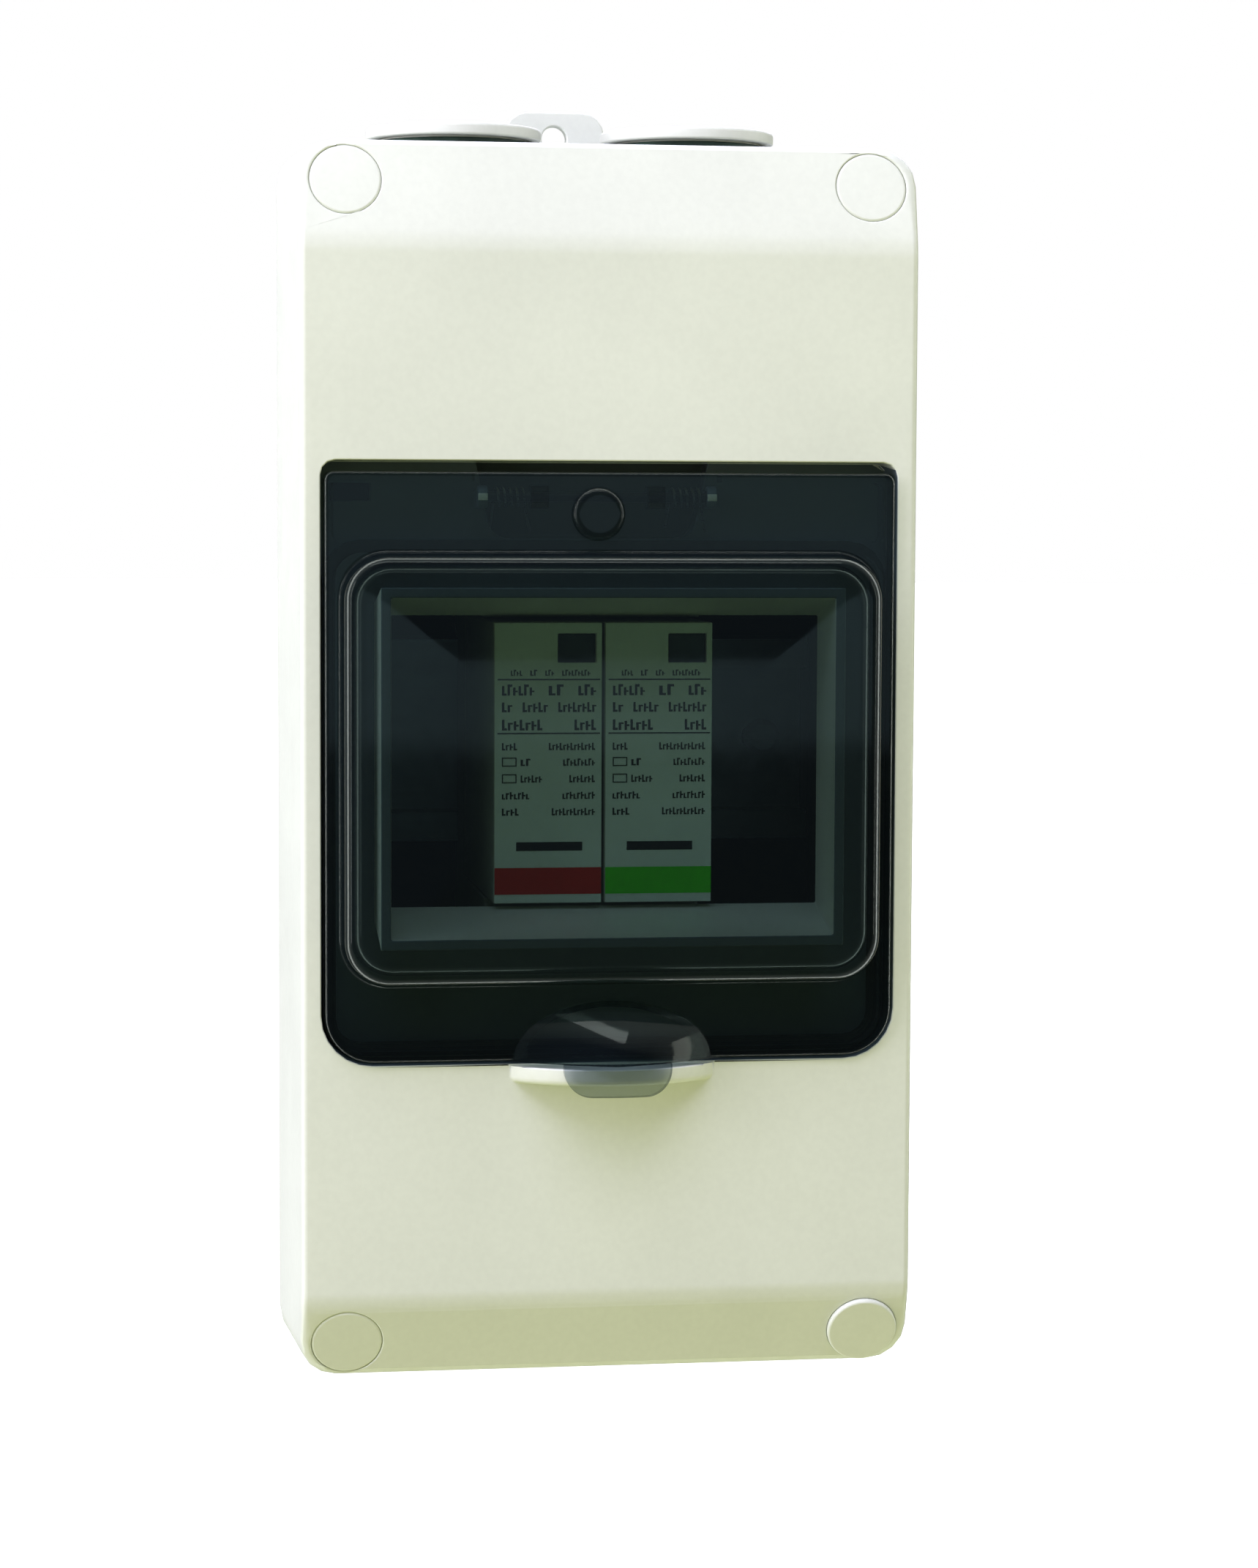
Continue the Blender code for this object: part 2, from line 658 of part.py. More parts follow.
def tab_form():
    """Lip under the hood for a fingertip, bent to follow the ledge."""
    bm = block((-TAB_HALF, -85.9, TAB_BOTTOM), (TAB_HALF, -84.15, -44.9))
    round_edges(bm, lambda e: on_plane(e, 2, TAB_BOTTOM) and runs_along(e, 1), 3.4, 3)
    for x in (-6.4, -4.25, -2.1, 0.0, 2.1, 4.25, 6.4):
        geom = bm.verts[:] + bm.edges[:] + bm.faces[:]
        bmesh.ops.bisect_plane(bm, geom=geom, dist=1e-5, plane_co=(x, 0, 0), plane_no=(1, 0, 0))
    for v in bm.verts:
        v.co.y += v.co.x ** 2 / (2 * (LEDGE_R + 1.0))
        v.co.x += HOOD_X
    bmesh.ops.triangulate(bm, faces=bm.faces)
    return bm


def door(coll, tools, mat):
    bm = block((-DOOR_X, DOOR_Y, DOOR_BOTTOM), (DOOR_X, DOOR_Y + SKIRT, DOOR_TOP))
    round_edges(bm, lambda e: on_plane(e, 2, DOOR_BOTTOM) and runs_along(e, 1), 7.6, 6)
    round_edges(bm, lambda e: on_plane(e, 2, DOOR_TOP) and runs_along(e, 1), 1.6, 3)
    round_edges(bm, lambda e: on_plane(e, 1, DOOR_Y), 0.7, 2)
    flap = finish("door", bm, mat, coll, (0.0, PIN_Y, PIN_Z))
    back = DOOR_Y + DOOR_T
    side = DOOR_X - 1.5
    rooms = (
        ("low_room", (-side, back, DOOR_BOTTOM + 1.5), (side, back + 9.0, 33.7), 1.5),
        ("top_room", (-side, back, 35.2), (side, back + 9.0, DOOR_TOP - 1.5), 1.2),
        ("notch", (PIN_X[0] - 1.2, back, 41.0), (PIN_X[1] + 1.2, back + 9.0, 52.0), 0.0),
    )
    for name, lo, hi, corner in rooms:
        cut(flap, tools.add("door_" + name, block(lo, hi, corner, 2)))
    join(flap, tools.add("bubble", bubble_form(0.0, DOOR_Y + 1.3)))
    join(flap, tools.add("hood", hood_form(0.0, DOOR_Y + 1.3)))
    join(flap, tools.add("tab", tab_form()))
    join(flap, tools.add("button", button_form()))
    cut(flap, tools.add("bubble_room", bubble_form(BUBBLE_WALL, back + 1.0)))
    cut(flap, tools.add("hood_room", hood_form(1.6, back + 0.4)))
    door_knuckles(flap, tools, back)
    return flap


def button_form():
    """Low round button with a soft rim, moulded on the hinge side of the door."""
    front = DOOR_Y - 1.4
    back = DOOR_Y + 1.2
    bm = rod((BUTTON_X, (front + back) / 2, BUTTON_Z), 4.2, back - front, 1, 24)
    round_edges(bm, lambda e: on_plane(e, 1, front), 1.3, 3)
    return bm


def door_knuckles(flap, tools, back):
    for i, (x0, x1) in enumerate(KNUCKLES):
        at = ((x0 + x1) / 2, PIN_Y, PIN_Z)
        web = block((x0 + 0.05, back - 0.5, PIN_Z - 1.7), (x1 - 0.05, PIN_Y, PIN_Z + 1.7))
        join(flap, tools.add("web_%d" % i, web))
        join(flap, tools.add("knuckle_%d" % i, rod(at, 1.9, x1 - x0, 0, 16)))
        cut(flap, tools.add("knuckle_bore_%d" % i, rod(at, PIN_R + 0.1, x1 - x0 + 2.0, 0, 16)))


def hinge_pin(coll, mat):
    mid = (PIN_X[0] + PIN_X[1]) / 2
    bm = rod((mid, PIN_Y, PIN_Z), PIN_R, PIN_X[1] - PIN_X[0], 0, 16)
    return finish("hinge_pin", bm, mat, coll, (0.0, PIN_Y, PIN_Z), smooth=True)


def door_seal(coll, tools, mat):
    """Rubber cord on the tray's floor, under the door's rim."""
    y0, y1 = DOOR_Y + SKIRT + GAP, TRAY_FLOOR_Y - GAP
    out_x = DOOR_X - 0.1
    bm = block((-out_x, y0, DOOR_BOTTOM + 0.1), (out_x, y1, 35.4), 6.0, 4)
    seal = finish("door_seal", bm, mat, coll)
    room = block((-out_x + 2.0, y0 - 2.0, DOOR_BOTTOM + 2.1), (out_x - 2.0, y1 + 2.0, 33.4), 4.0, 4)
    cut(seal, tools.add("seal_room", room))
    return seal


def hinge_spring(coll, mat, index):
    """Small torsion spring round the pin, one leg on the cover and one on the door."""
    x0, x1 = COILS[index]
    wire, radius, turns, per_turn = 0.22, 1.45, 5, 10
    count = turns * per_turn
    points = []
    for i in range(count + 1):
        a = math.radians(-90) + 2 * math.pi * i / per_turn
        x = x0 + (x1 - x0) * i / count
        points.append((x, PIN_Y + radius * math.cos(a), PIN_Z + radius * math.sin(a)))
    near, far = points[0], points[-1]
    start = (near[0] - 0.1, near[1] + 3.0, near[2] - 3.2)
    end = (far[0] + 0.6, PIN_Y - radius, PIN_Z - 5.4)
    name = "hinge_spring_" + ("left" if index == 0 else "right")
    return wire_object(name, [start] + points + [end], wire, mat, coll)


def wire_object(name, points, radius, mat, coll):
    curve = bpy.data.curves.new(name + "_path", "CURVE")
    curve.dimensions = "3D"
    curve.bevel_depth = radius * MM
    curve.bevel_resolution = 1
    curve.use_fill_caps = True
    spline = curve.splines.new("POLY")
    spline.points.add(len(points) - 1)
    for point, co in zip(spline.points, points):
        place = (Vector(co) - Vector((0.0, PIN_Y, PIN_Z))) * MM
        point.co = (*place, 1.0)
    path = bpy.data.objects.new(name + "_path", curve)
    path.location = Vector((0.0, PIN_Y, PIN_Z)) * MM
    coll.objects.link(path)
    bpy.context.view_layer.update()
    mesh = bpy.data.meshes.new_from_object(path)
    bm = bmesh.new()
    bm.from_mesh(mesh)
    bmesh.ops.remove_doubles(bm, verts=bm.verts, dist=0.000001)
    bmesh.ops.recalc_face_normals(bm, faces=bm.faces)
    bm.to_mesh(mesh)
    bm.free()
    obj = bpy.data.objects.new(name, mesh)
    obj.matrix_world = path.matrix_world
    bpy.data.objects.remove(path)
    mesh.materials.clear()
    mesh.materials.append(mat)
    for face in mesh.polygons:
        face.use_smooth = True
    coll.objects.link(obj)
    return obj


# Arresters

def module_base(coll, tools, mat, cx):
    """Plug-in socket on the rail: two terminal towers with the plug's bay between them."""
    name = side_name(cx)
    half = MODULE_W / 2
    bm = block((cx - half, SHOULDER_Y, -HALF_BASE_Z), (cx + half, RAIL_Y + 4.3, HALF_BASE_Z))
    round_edges(bm, lambda e: on_plane(e, 1, SHOULDER_Y) and runs_along(e, 2), 0.6, 1)
    base = finish("arrester_base_" + name, bm, mat, coll)
    bay = HALF_PLUG_Z + GAP + 0.1
    rooms = (
        ("bay", (cx - 12, -60.0, -bay), (cx + 12, PLUG_BACK_Y + GAP, bay)),
        ("rail_seat", (cx - 12, RAIL_Y - GAP, -17.8), (cx + 12, 0.0, 17.8)),
        ("hook", (cx - 12, RAIL_Y - GAP, 10.0), (cx + 12, RAIL_Y + 1.3, 18.2)),
        ("clip_way", (cx - 4.4, RAIL_Y - GAP, -50.0), (cx + 4.4, 0.0, -17.0)),
        ("upper_slot", (cx - 1.2, PLUG_BACK_Y - 1.0, 10.6), (cx + 1.2, PLUG_BACK_Y + 7.6, 17.4)),
        ("lower_slot", (cx - 1.2, PLUG_BACK_Y - 1.0, -17.4), (cx + 1.2, PLUG_BACK_Y + 7.6, -10.6)),
    )
    for label, lo, hi in rooms:
        cut(base, tools.add(label + "_" + name, block(lo, hi)))
    for sign in (1, -1):
        tower_rooms(base, tools, cx, sign)
    return base


def tower_rooms(base, tools, cx, sign):
    """Clamp room, wire entry and screw shaft of one terminal."""
    name = "%s_%s" % ("upper" if sign > 0 else "lower", side_name(cx))
    z = sorted((sign * 28.0, sign * 42.6))
    cut(base, tools.add("clamp_room_" + name, block((cx - 5.4, -46.6, z[0]), (cx + 5.4, -29.6, z[1]))))
    z = sorted((sign * 41.0, sign * 50.0))
    way = block((cx - 4.2, -41.0, z[0]), (cx + 4.2, -30.6, z[1]), 1.5, 2)
    cut(base, tools.add("wire_way_" + name, way))
    cut(base, tools.add("screw_way_" + name, rod((cx, -52.0, sign * 35.4), 3.6, 12.0, 1, 20)))


def terminal_clamp(coll, tools, mat, cx, sign):
    """Open cage that rises on its screw and grips a wire."""
    name = "%s_%s" % ("upper" if sign > 0 else "lower", side_name(cx))
    z = sorted((sign * 30.6, sign * 40.2))
    bm = block((cx - 4.9, -42.2, z[0]), (cx + 4.9, -30.2, z[1]))
    clamp = finish("terminal_clamp_" + name, bm, mat, coll, (cx, -36.0, sign * 35.4))
    gap = block((cx - 3.7, -40.0, z[0] - 2.0), (cx + 3.7, -31.4, z[1] + 2.0))
    cut(clamp, tools.add("clamp_gap_" + name, gap))
    cut(clamp, tools.add("clamp_hole_" + name, rod((cx, -42.0, sign * 35.4), 2.3, 8.0, 1, 16)))
    return clamp


def terminal_screw(coll, tools, mat, cx, sign):
    name = "%s_%s" % ("upper" if sign > 0 else "lower", side_name(cx))
    turned_screw("terminal_screw_" + name, coll, tools, mat, (3.1, -50.2, -46.9),
                 (2.0, -46.9, -38.6), (cx, sign * 35.4), 0.9)


def rail_clip(coll, tools, mat, cx):
    """Sliding foot that locks the arrester on the rail's lower flange."""
    name = side_name(cx)
    bm = block((cx - 4.1, RAIL_Y + 1.3, -52.0), (cx + 4.1, RAIL_Y + 3.9, -15.6))
    clip = finish("rail_clip_" + name, bm, mat, coll, (cx, RAIL_Y + 2.6, -30.0))
    slot = block((cx - 2.4, RAIL_Y, -50.0), (cx + 2.4, 0.0, -47.0))
    cut(clip, tools.add("clip_slot_" + name, slot))
    return clip


def plug(coll, tools, mat, cx):
    """The part of an arrester that pulls out, with a window for its indicator."""
    name = side_name(cx)
    half = MODULE_W / 2 - 0.05
    bm = block((cx - half, NOSE_Y, -HALF_PLUG_Z), (cx + half, PLUG_BACK_Y, HALF_PLUG_Z))
    round_edges(bm, lambda e: on_plane(e, 1, NOSE_Y), 0.5, 1)
    body = finish("arrester_plug_" + name, bm, mat, coll, (cx, NOSE_Y, 0.0))
    for sign in (1, -1):
        z = sorted((sign * (HALF_PLUG_Z - 1.1), sign * (HALF_PLUG_Z + 2.0)))
        grip = block((cx - 6.0, NOSE_Y + 2.5, z[0]), (cx + 6.0, NOSE_Y + 9.5, z[1]))
        cut(body, tools.add("grip_%s_%d" % (name, sign), grip))
        z = sign * 14.0
        seat = block((cx - 0.55, PLUG_BACK_Y - 4.0, z - 2.55), (cx + 0.55, PLUG_BACK_Y + 2.0, z + 2.55))
        cut(body, tools.add("blade_seat_%s_%d" % (name, sign), seat))
    fx = cx + FLAG_X
    room = block((fx - 3.35, NOSE_Y + 1.0, 6.0), (fx + 3.35, NOSE_Y + 2.9, 21.2))
    cut(body, tools.add("flag_room_" + name, room))
    window = block((fx - 3.05, NOSE_Y - 2.0, FLAG_Z - 2.3), (fx + 3.05, NOSE_Y + 1.5, FLAG_Z + 2.3))
    cut(body, tools.add("flag_window_" + name, window))
    return body


def indicator(coll, mat, cx):
    fx = cx + FLAG_X
    bm = block((fx - 3.0, NOSE_Y + 1.35, FLAG_Z - 7.3), (fx + 3.0, NOSE_Y + 2.45, FLAG_Z + 2.5))
    return finish("indicator_flag_" + side_name(cx), bm, mat, coll, (fx, NOSE_Y + 1.9, FLAG_Z))


def contact_blades(coll, mat, cx):
    for sign in (1, -1):
        name = "contact_blade_%s_%s" % ("upper" if sign > 0 else "lower", side_name(cx))
        lo = (cx - 0.4, PLUG_BACK_Y - 3.7, sign * 14.0 - 2.4)
        hi = (cx + 0.4, PLUG_BACK_Y + 6.6, sign * 14.0 + 2.4)
        bm = block(lo, hi)
        round_edges(bm, lambda e: on_plane(e, 1, hi[1]) and runs_along(e, 0), 0.8, 1)
        finish(name, bm, mat, coll, (cx, PLUG_BACK_Y, sign * 14.0))


def build():
    clear_scene()
    coll = new_collection(PART)
    tools = Tools()
    grey, smoke, rubber = shell_grey(), smoked_clear(), black_rubber()
    steel, zinc = spring_steel(), zinc_steel()
    tinned, white, black = copper_tin(), plug_white(), clip_black()
    soft, socket, green = soft_grey(), module_grey(), flag_green()
    base_box(coll, tools, grey)
    gasket(coll, tools, rubber)
    for x in (-ENTRY_X, ENTRY_X):
        entry_collar(coll, soft, x)
        entry_seal(coll, rubber, x)
    din_rail(coll, tools, zinc)
    rail_screws(coll, tools, zinc)
    cover(coll, tools, grey)
    cover_screws(coll, tools, zinc)
    for x, z in screw_places():
        screw_cap(coll, tools, soft, x, z)
    door(coll, tools, smoke)
    door_seal(coll, tools, rubber)
    hinge_pin(coll, steel)
    for i in (0, 1):
        hinge_spring(coll, steel, i)
    for cx in MODULE_X:
        module_base(coll, tools, socket, cx)
        plug(coll, tools, white, cx)
        indicator(coll, green, cx)
        contact_blades(coll, tinned, cx)
        rail_clip(coll, tools, black, cx)
        for sign in (1, -1):
            terminal_clamp(coll, tools, zinc, cx, sign)
            terminal_screw(coll, tools, zinc, cx, sign)


build()
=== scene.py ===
"""Looks of the whole house surge protector: finished surfaces, door, labels, light and camera.

Lengths are in millimetres unless a name ends in _M, and MM turns them into metres. The frame is
the part's own: +Z up, the front faces -Y, and the flat back lies on Y = 0.
"""
import math

import bmesh
import bpy
from mathutils import Matrix, Vector

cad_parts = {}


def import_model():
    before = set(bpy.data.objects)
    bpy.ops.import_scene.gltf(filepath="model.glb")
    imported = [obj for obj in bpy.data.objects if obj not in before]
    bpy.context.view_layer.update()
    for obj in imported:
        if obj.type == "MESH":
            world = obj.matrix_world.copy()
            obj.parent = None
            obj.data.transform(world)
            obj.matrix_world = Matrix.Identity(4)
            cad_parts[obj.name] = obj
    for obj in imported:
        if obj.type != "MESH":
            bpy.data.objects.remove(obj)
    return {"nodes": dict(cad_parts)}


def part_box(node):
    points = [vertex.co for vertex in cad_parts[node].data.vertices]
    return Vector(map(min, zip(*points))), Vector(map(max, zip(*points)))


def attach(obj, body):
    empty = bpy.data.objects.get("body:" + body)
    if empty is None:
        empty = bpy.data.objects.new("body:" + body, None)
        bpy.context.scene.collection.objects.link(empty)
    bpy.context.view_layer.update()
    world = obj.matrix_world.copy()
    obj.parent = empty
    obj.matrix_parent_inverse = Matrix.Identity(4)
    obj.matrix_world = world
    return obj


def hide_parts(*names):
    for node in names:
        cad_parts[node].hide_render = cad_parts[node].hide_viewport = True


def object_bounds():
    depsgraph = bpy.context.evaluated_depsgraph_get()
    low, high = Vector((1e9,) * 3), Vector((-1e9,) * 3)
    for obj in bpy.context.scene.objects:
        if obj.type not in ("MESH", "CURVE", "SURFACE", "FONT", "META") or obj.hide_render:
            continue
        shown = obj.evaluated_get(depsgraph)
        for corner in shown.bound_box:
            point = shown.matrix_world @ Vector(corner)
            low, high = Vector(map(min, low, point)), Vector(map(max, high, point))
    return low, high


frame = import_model()
CAD_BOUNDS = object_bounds()

MM = 0.001
CORNERS = ("upper_left", "upper_right", "lower_left", "lower_right")
SIDES = ("left", "right")


def cad_box(name):
    """Lowest and highest corner of a CAD node, in millimetres."""
    low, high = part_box(name)
    return Vector(low) / MM, Vector(high) / MM


# Materials

class Graph:
    """The node tree of a material or a world, with short calls to add and link nodes."""

    def __init__(self, owner, output):
        owner.use_nodes = True
        self.owner = owner
        self.tree = owner.node_tree
        self.tree.nodes.clear()
        self.out = self.add(output)
        self.coords = None

    def add(self, kind, settings=None, **inputs):
        node = self.tree.nodes.new("ShaderNode" + kind)
        for key, value in (settings or {}).items():
            setattr(node, key, value)
        for key, value in inputs.items():
            self.put(node, key.replace("_", " "), value)
        return node

    def put(self, node, key, value):
        socket = node.inputs[int(key[1:])] if key[0] == "#" else node.inputs[key]
        if isinstance(value, bpy.types.NodeSocket):
            self.tree.links.new(value, socket)
        else:
            socket.default_value = value

    def place(self):
        if self.coords is None:
            self.coords = self.add("TexCoord").outputs["Object"]
        return self.coords

    def noise(self, scale, detail=2.0, stretch=None):
        vector = self.place()
        if stretch is not None:
            mapping = self.add("Mapping", Vector=vector)
            mapping.inputs["Scale"].default_value = stretch
            vector = mapping.outputs[0]
        node = self.add("TexNoise", Vector=vector, Scale=scale, Detail=detail)
        return node.outputs["Fac"]

    def math(self, operation, a, b=0.0, clamp=False):
        node = self.add("Math", {"operation": operation, "use_clamp": clamp})
        self.put(node, "#0", a)
        self.put(node, "#1", b)
        return node.outputs[0]

    def remap(self, value, low, high, to_low, to_high):
        node = self.add("MapRange", Value=value)
        limits = {"From Min": low, "From Max": high, "To Min": to_low, "To Max": to_high}
        for key, number in limits.items():
            node.inputs[key].default_value = number
        return node.outputs[0]

    def blend(self, factor, first, second, mode="MIX"):
        node = self.add("Mix", {"data_type": "RGBA", "blend_type": mode})
        self.put(node, "#0", factor)
        self.put(node, "#6", first)
        self.put(node, "#7", second)
        return node.outputs[2]

    def bump(self, height, distance, strength, normal=None):
        node = self.add("Bump", Height=height, Distance=distance, Strength=strength)
        if normal is not None:
            self.put(node, "Normal", normal)
        return node.outputs[0]

    def mix(self, factor, first, second):
        node = self.add("MixShader")
        self.put(node, "#0", factor)
        self.put(node, "#1", first.outputs[0])
        self.put(node, "#2", second.outputs[0])
        return node

    def ramp(self, value, stops):
        """Colour ramp over (position, colour) stops in rising order."""
        node = self.add("ValToRGB", Fac=value)
        elements = node.color_ramp.elements
        for i, (position, colour) in enumerate(stops):
            element = elements[i] if i < 2 else elements.new(position)
            element.position = position
            element.color = rgba(colour)
        return node.outputs["Color"]

    def finish(self, shader):
        self.tree.links.new(shader.outputs[0], self.out.inputs["Surface"])
        return self.owner


def material(name):
    return Graph(bpy.data.materials.new(name), "OutputMaterial")


def rgba(colour):
    return (*colour, 1.0)


def shade(colour, factor):
    return tuple(c * factor for c in colour)


def moulded(name, colour, rough, grain_mm=0.35, depth_mm=0.012, mottle=0.035, specular=0.5):
    """Injection moulded plastic: spark-eroded grain, faint flow mottling and uneven gloss."""
    g = material(name)
    cloud = g.noise(28.0, 3.0)
    speck = g.noise(900.0, 1.0)
    wide = g.remap(cloud, 0.3, 0.7, 0.0, 1.0)
    base = g.blend(wide, rgba(shade(colour, 1.0 - mottle)), rgba(shade(colour, 1.0 + mottle)))
    tone = g.remap(speck, 0.3, 0.7, 0.985, 1.015)
    grey = g.add("CombineColor", Red=tone, Green=tone, Blue=tone).outputs[0]
    base = g.blend(1.0, base, grey, "MULTIPLY")
    rough_map = g.remap(g.noise(160.0, 4.0), 0.3, 0.7, rough - 0.05, rough + 0.06)
    fine = g.bump(g.noise(1000.0 / grain_mm, 2.0), depth_mm * MM, 0.5)
    normal = g.bump(g.noise(70.0, 2.0), 0.02 * MM, 0.25, fine)
    shader = g.add("BsdfPrincipled", Base_Color=base, Roughness=rough_map, Normal=normal)
    shader.inputs["Specular IOR Level"].default_value = specular
    return g.finish(shader)


def rubber(name, colour):
    """Matt rubber with a little pale dust."""
    g = material(name)
    dust = g.remap(g.noise(220.0, 5.0), 0.45, 0.75, 0.0, 1.0)
    base = g.blend(dust, rgba(colour), rgba(shade(colour, 2.2)))
    normal = g.bump(g.noise(2400.0, 2.0), 0.02 * MM, 0.6)
    rough_map = g.remap(g.noise(300.0, 2.0), 0.3, 0.7, 0.62, 0.82)
    return g.finish(g.add("BsdfPrincipled", Base_Color=base, Roughness=rough_map, Normal=normal))


def metal(name, colour, rough, stretch=(1.0, 1.0, 1.0), scratch=0.02):
    """Plated or drawn metal with fine lines along its working direction and clouded gloss."""
    g = material(name)
    cloud = g.remap(g.noise(120.0, 4.0), 0.3, 0.7, 0.0, 1.0)
    base = g.blend(cloud, rgba(shade(colour, 0.86)), rgba(shade(colour, 1.06)))
    lines = g.noise(1800.0, 2.0, stretch)
    rough_map = g.remap(lines, 0.3, 0.7, rough - 0.06, rough + 0.1)
    normal = g.bump(lines, scratch * MM, 0.4)
    shader = g.add("BsdfPrincipled", Base_Color=base, Roughness=rough_map, Normal=normal)
    shader.inputs["Metallic"].default_value = 1.0
    return g.finish(shader)


def smoked(name, per_face=(0.89, 0.99, 0.97), cover=0.44):
    """See-through dark plastic. Each face takes its share of the tint, more of it at a slant."""
    g = material(name)
    facing = g.add("LayerWeight", Blend=0.5).outputs["Facing"]
    slant = g.math("POWER", facing, 3.0)
    factor = g.remap(slant, 0.0, 1.0, cover, 0.97)
    haze = g.remap(g.noise(420.0, 4.0), 0.35, 0.75, 0.035, 0.075)
    ripple = g.bump(g.noise(45.0, 1.0), 0.05 * MM, 0.02)
    body = g.add("BsdfPrincipled", Roughness=haze, Normal=ripple)
    body.inputs["Base Color"].default_value = (0.004, 0.006, 0.008, 1.0)
    body.inputs["IOR"].default_value = 1.8
    clear = g.add("BsdfTransparent")
    clear.inputs["Color"].default_value = rgba(per_face)
    return g.finish(g.mix(factor, clear, body))


def paper(name, colour, rough=0.5):
    """Printed film on the module's nose."""
    g = material(name)
    cloud = g.remap(g.noise(60.0, 3.0), 0.3, 0.7, 0.0, 1.0)
    base = g.blend(cloud, rgba(shade(colour, 0.95)), rgba(shade(colour, 1.04)))
    rough_map = g.remap(g.noise(240.0, 3.0), 0.3, 0.7, rough - 0.06, rough + 0.08)
    normal = g.bump(g.noise(1500.0, 2.0), 0.004 * MM, 0.4)
    return g.finish(g.add("BsdfPrincipled", Base_Color=base, Roughness=rough_map, Normal=normal))


MATS = {
    "shell_grey": moulded("shell_grey", (0.66, 0.69, 0.62), 0.46),
    "soft_grey": moulded("soft_grey", (0.66, 0.69, 0.62), 0.5, 0.3, 0.008),
    "collar_grey": moulded("collar_grey", (0.64, 0.66, 0.58), 0.5, 0.3, 0.008),
    "smoked_clear": smoked("smoked_clear"),
    "smoked_thin": smoked("smoked_thin", (0.90, 0.94, 0.97), 0.25),
    # Painted shade: dark colour for the tray and window rim behind the door.
    "tray_painted_shade": moulded("tray_painted_shade", (0.11, 0.14, 0.165), 0.5),
    "seal_rubber": rubber("seal_rubber", (0.010, 0.024, 0.017)),
    # Painted shade: dark colour for the hinge pocket.
    "pocket_painted_shade": moulded("pocket_painted_shade", (0.06, 0.072, 0.074), 0.5),
    # Painted shade: near black colour for the inside of the box.
    "room_painted_shade": moulded("room_painted_shade", (0.012, 0.012, 0.012), 0.8),
    "pin_dark": metal("pin_dark", (0.10, 0.10, 0.10), 0.4, (0.05, 1.0, 1.0)),
    "black_rubber": rubber("black_rubber", (0.016, 0.02, 0.014)),
    "spring_steel": metal("spring_steel", (0.30, 0.30, 0.29), 0.3, (0.05, 1.0, 1.0)),
    "zinc_steel": metal("zinc_steel", (0.66, 0.67, 0.68), 0.34, (0.04, 1.0, 1.0)),
    "tinned_copper": metal("tinned_copper", (0.72, 0.66, 0.58), 0.3, (1.0, 0.05, 1.0)),
    "module_grey": moulded("module_grey", (0.56, 0.59, 0.54), 0.5, 0.25, 0.008),
    "plug_white": moulded("plug_white", (0.64, 0.67, 0.62), 0.42, 0.25, 0.006),
    "clip_black": moulded("clip_black", (0.025, 0.026, 0.025), 0.48, 0.25, 0.01),
    "flag_green": moulded("flag_green", (0.05, 0.075, 0.08), 0.35, 0.2, 0.004),
    "label_film": paper("label_film", (0.80, 0.92, 0.88)),
    "print_ink": paper("print_ink", (0.02, 0.022, 0.025), 0.45),
    "strip_red": paper("strip_red", (0.62, 0.012, 0.006), 0.4),
    "strip_green": paper("strip_green", (0.07, 0.80, 0.008), 0.4),
}


# Mesh helpers

def to_mesh(name, bm):
    mesh = bpy.data.meshes.new(name)
    bm.to_mesh(mesh)
    bm.free()
    return mesh


def add_object(name, data):
    obj = bpy.data.objects.new(name, data)
    bpy.context.scene.collection.objects.link(obj)
    return obj


def make(name, bm, mat, body, smooth_deg=35.0):
    """Millimetre geometry becomes a piece that rides on a body."""
    bmesh.ops.recalc_face_normals(bm, faces=bm.faces)
    if bm.calc_volume(signed=True) < 0:
        bmesh.ops.reverse_faces(bm, faces=bm.faces)
    bm.transform(Matrix.Scale(MM, 4))
    return mount(name, to_mesh(name, bm), mat, body, smooth_deg)


def mount(name, mesh, mat, body, smooth_deg=35.0):
    """A mesh in metres becomes a piece that rides on a body."""
    mesh.materials.clear()
    mesh.materials.append(MATS[mat])
    for face in mesh.polygons:
        face.material_index = 0
    obj = add_object(name, mesh)
    soften(obj, smooth_deg)
    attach(obj, body)
    return obj


def soften(obj, degrees):
    """Smooth shading with true normals on the large flat faces."""
    for face in obj.data.polygons:
        face.use_smooth = True
    obj.data.set_sharp_from_angle(angle=math.radians(degrees))
    weigh = obj.modifiers.new("weigh", "WEIGHTED_NORMAL")
    weigh.keep_sharp = True
    weigh.weight = 100
    apply_modifiers(obj)


def apply_modifiers(obj):
    bpy.context.view_layer.update()
    graph = bpy.context.evaluated_depsgraph_get()
    mesh = bpy.data.meshes.new_from_object(obj.evaluated_get(graph), depsgraph=graph)
    old = obj.data
    obj.modifiers.clear()
    obj.data = mesh
    mesh.name = obj.name
    if old.users == 0:
        bpy.data.meshes.remove(old)


def block(lo, hi, corner=0.0, segments=6):
    """Box between two corners; corner rounds its edges along Y."""
    bm = bmesh.new()
    size = [h - l for l, h in zip(lo, hi)]
    mid = [(h + l) / 2 for l, h in zip(lo, hi)]
    place = Matrix.Translation(mid) @ Matrix.Diagonal((*size, 1.0))
    bmesh.ops.create_cube(bm, size=1.0, matrix=place)
    if corner > 0:
        edges = [e for e in bm.edges if abs((e.verts[0].co - e.verts[1].co).y) > size[1] / 2]
        bmesh.ops.bevel(bm, geom=edges, offset=corner, segments=segments, profile=0.5, affect="EDGES")
    return bm


def rod(centre, radius, length, axis, segments=48):
    """Cylinder along X (axis 0) or Y (axis 1)."""
    bm = bmesh.new()
    place = Matrix.Translation(centre) @ Matrix.Rotation(math.pi / 2, 4, "YX"[axis])
    bmesh.ops.create_cone(bm, cap_ends=True, segments=segments, radius1=radius, radius2=radius,
                          depth=length, matrix=place)
    return bm


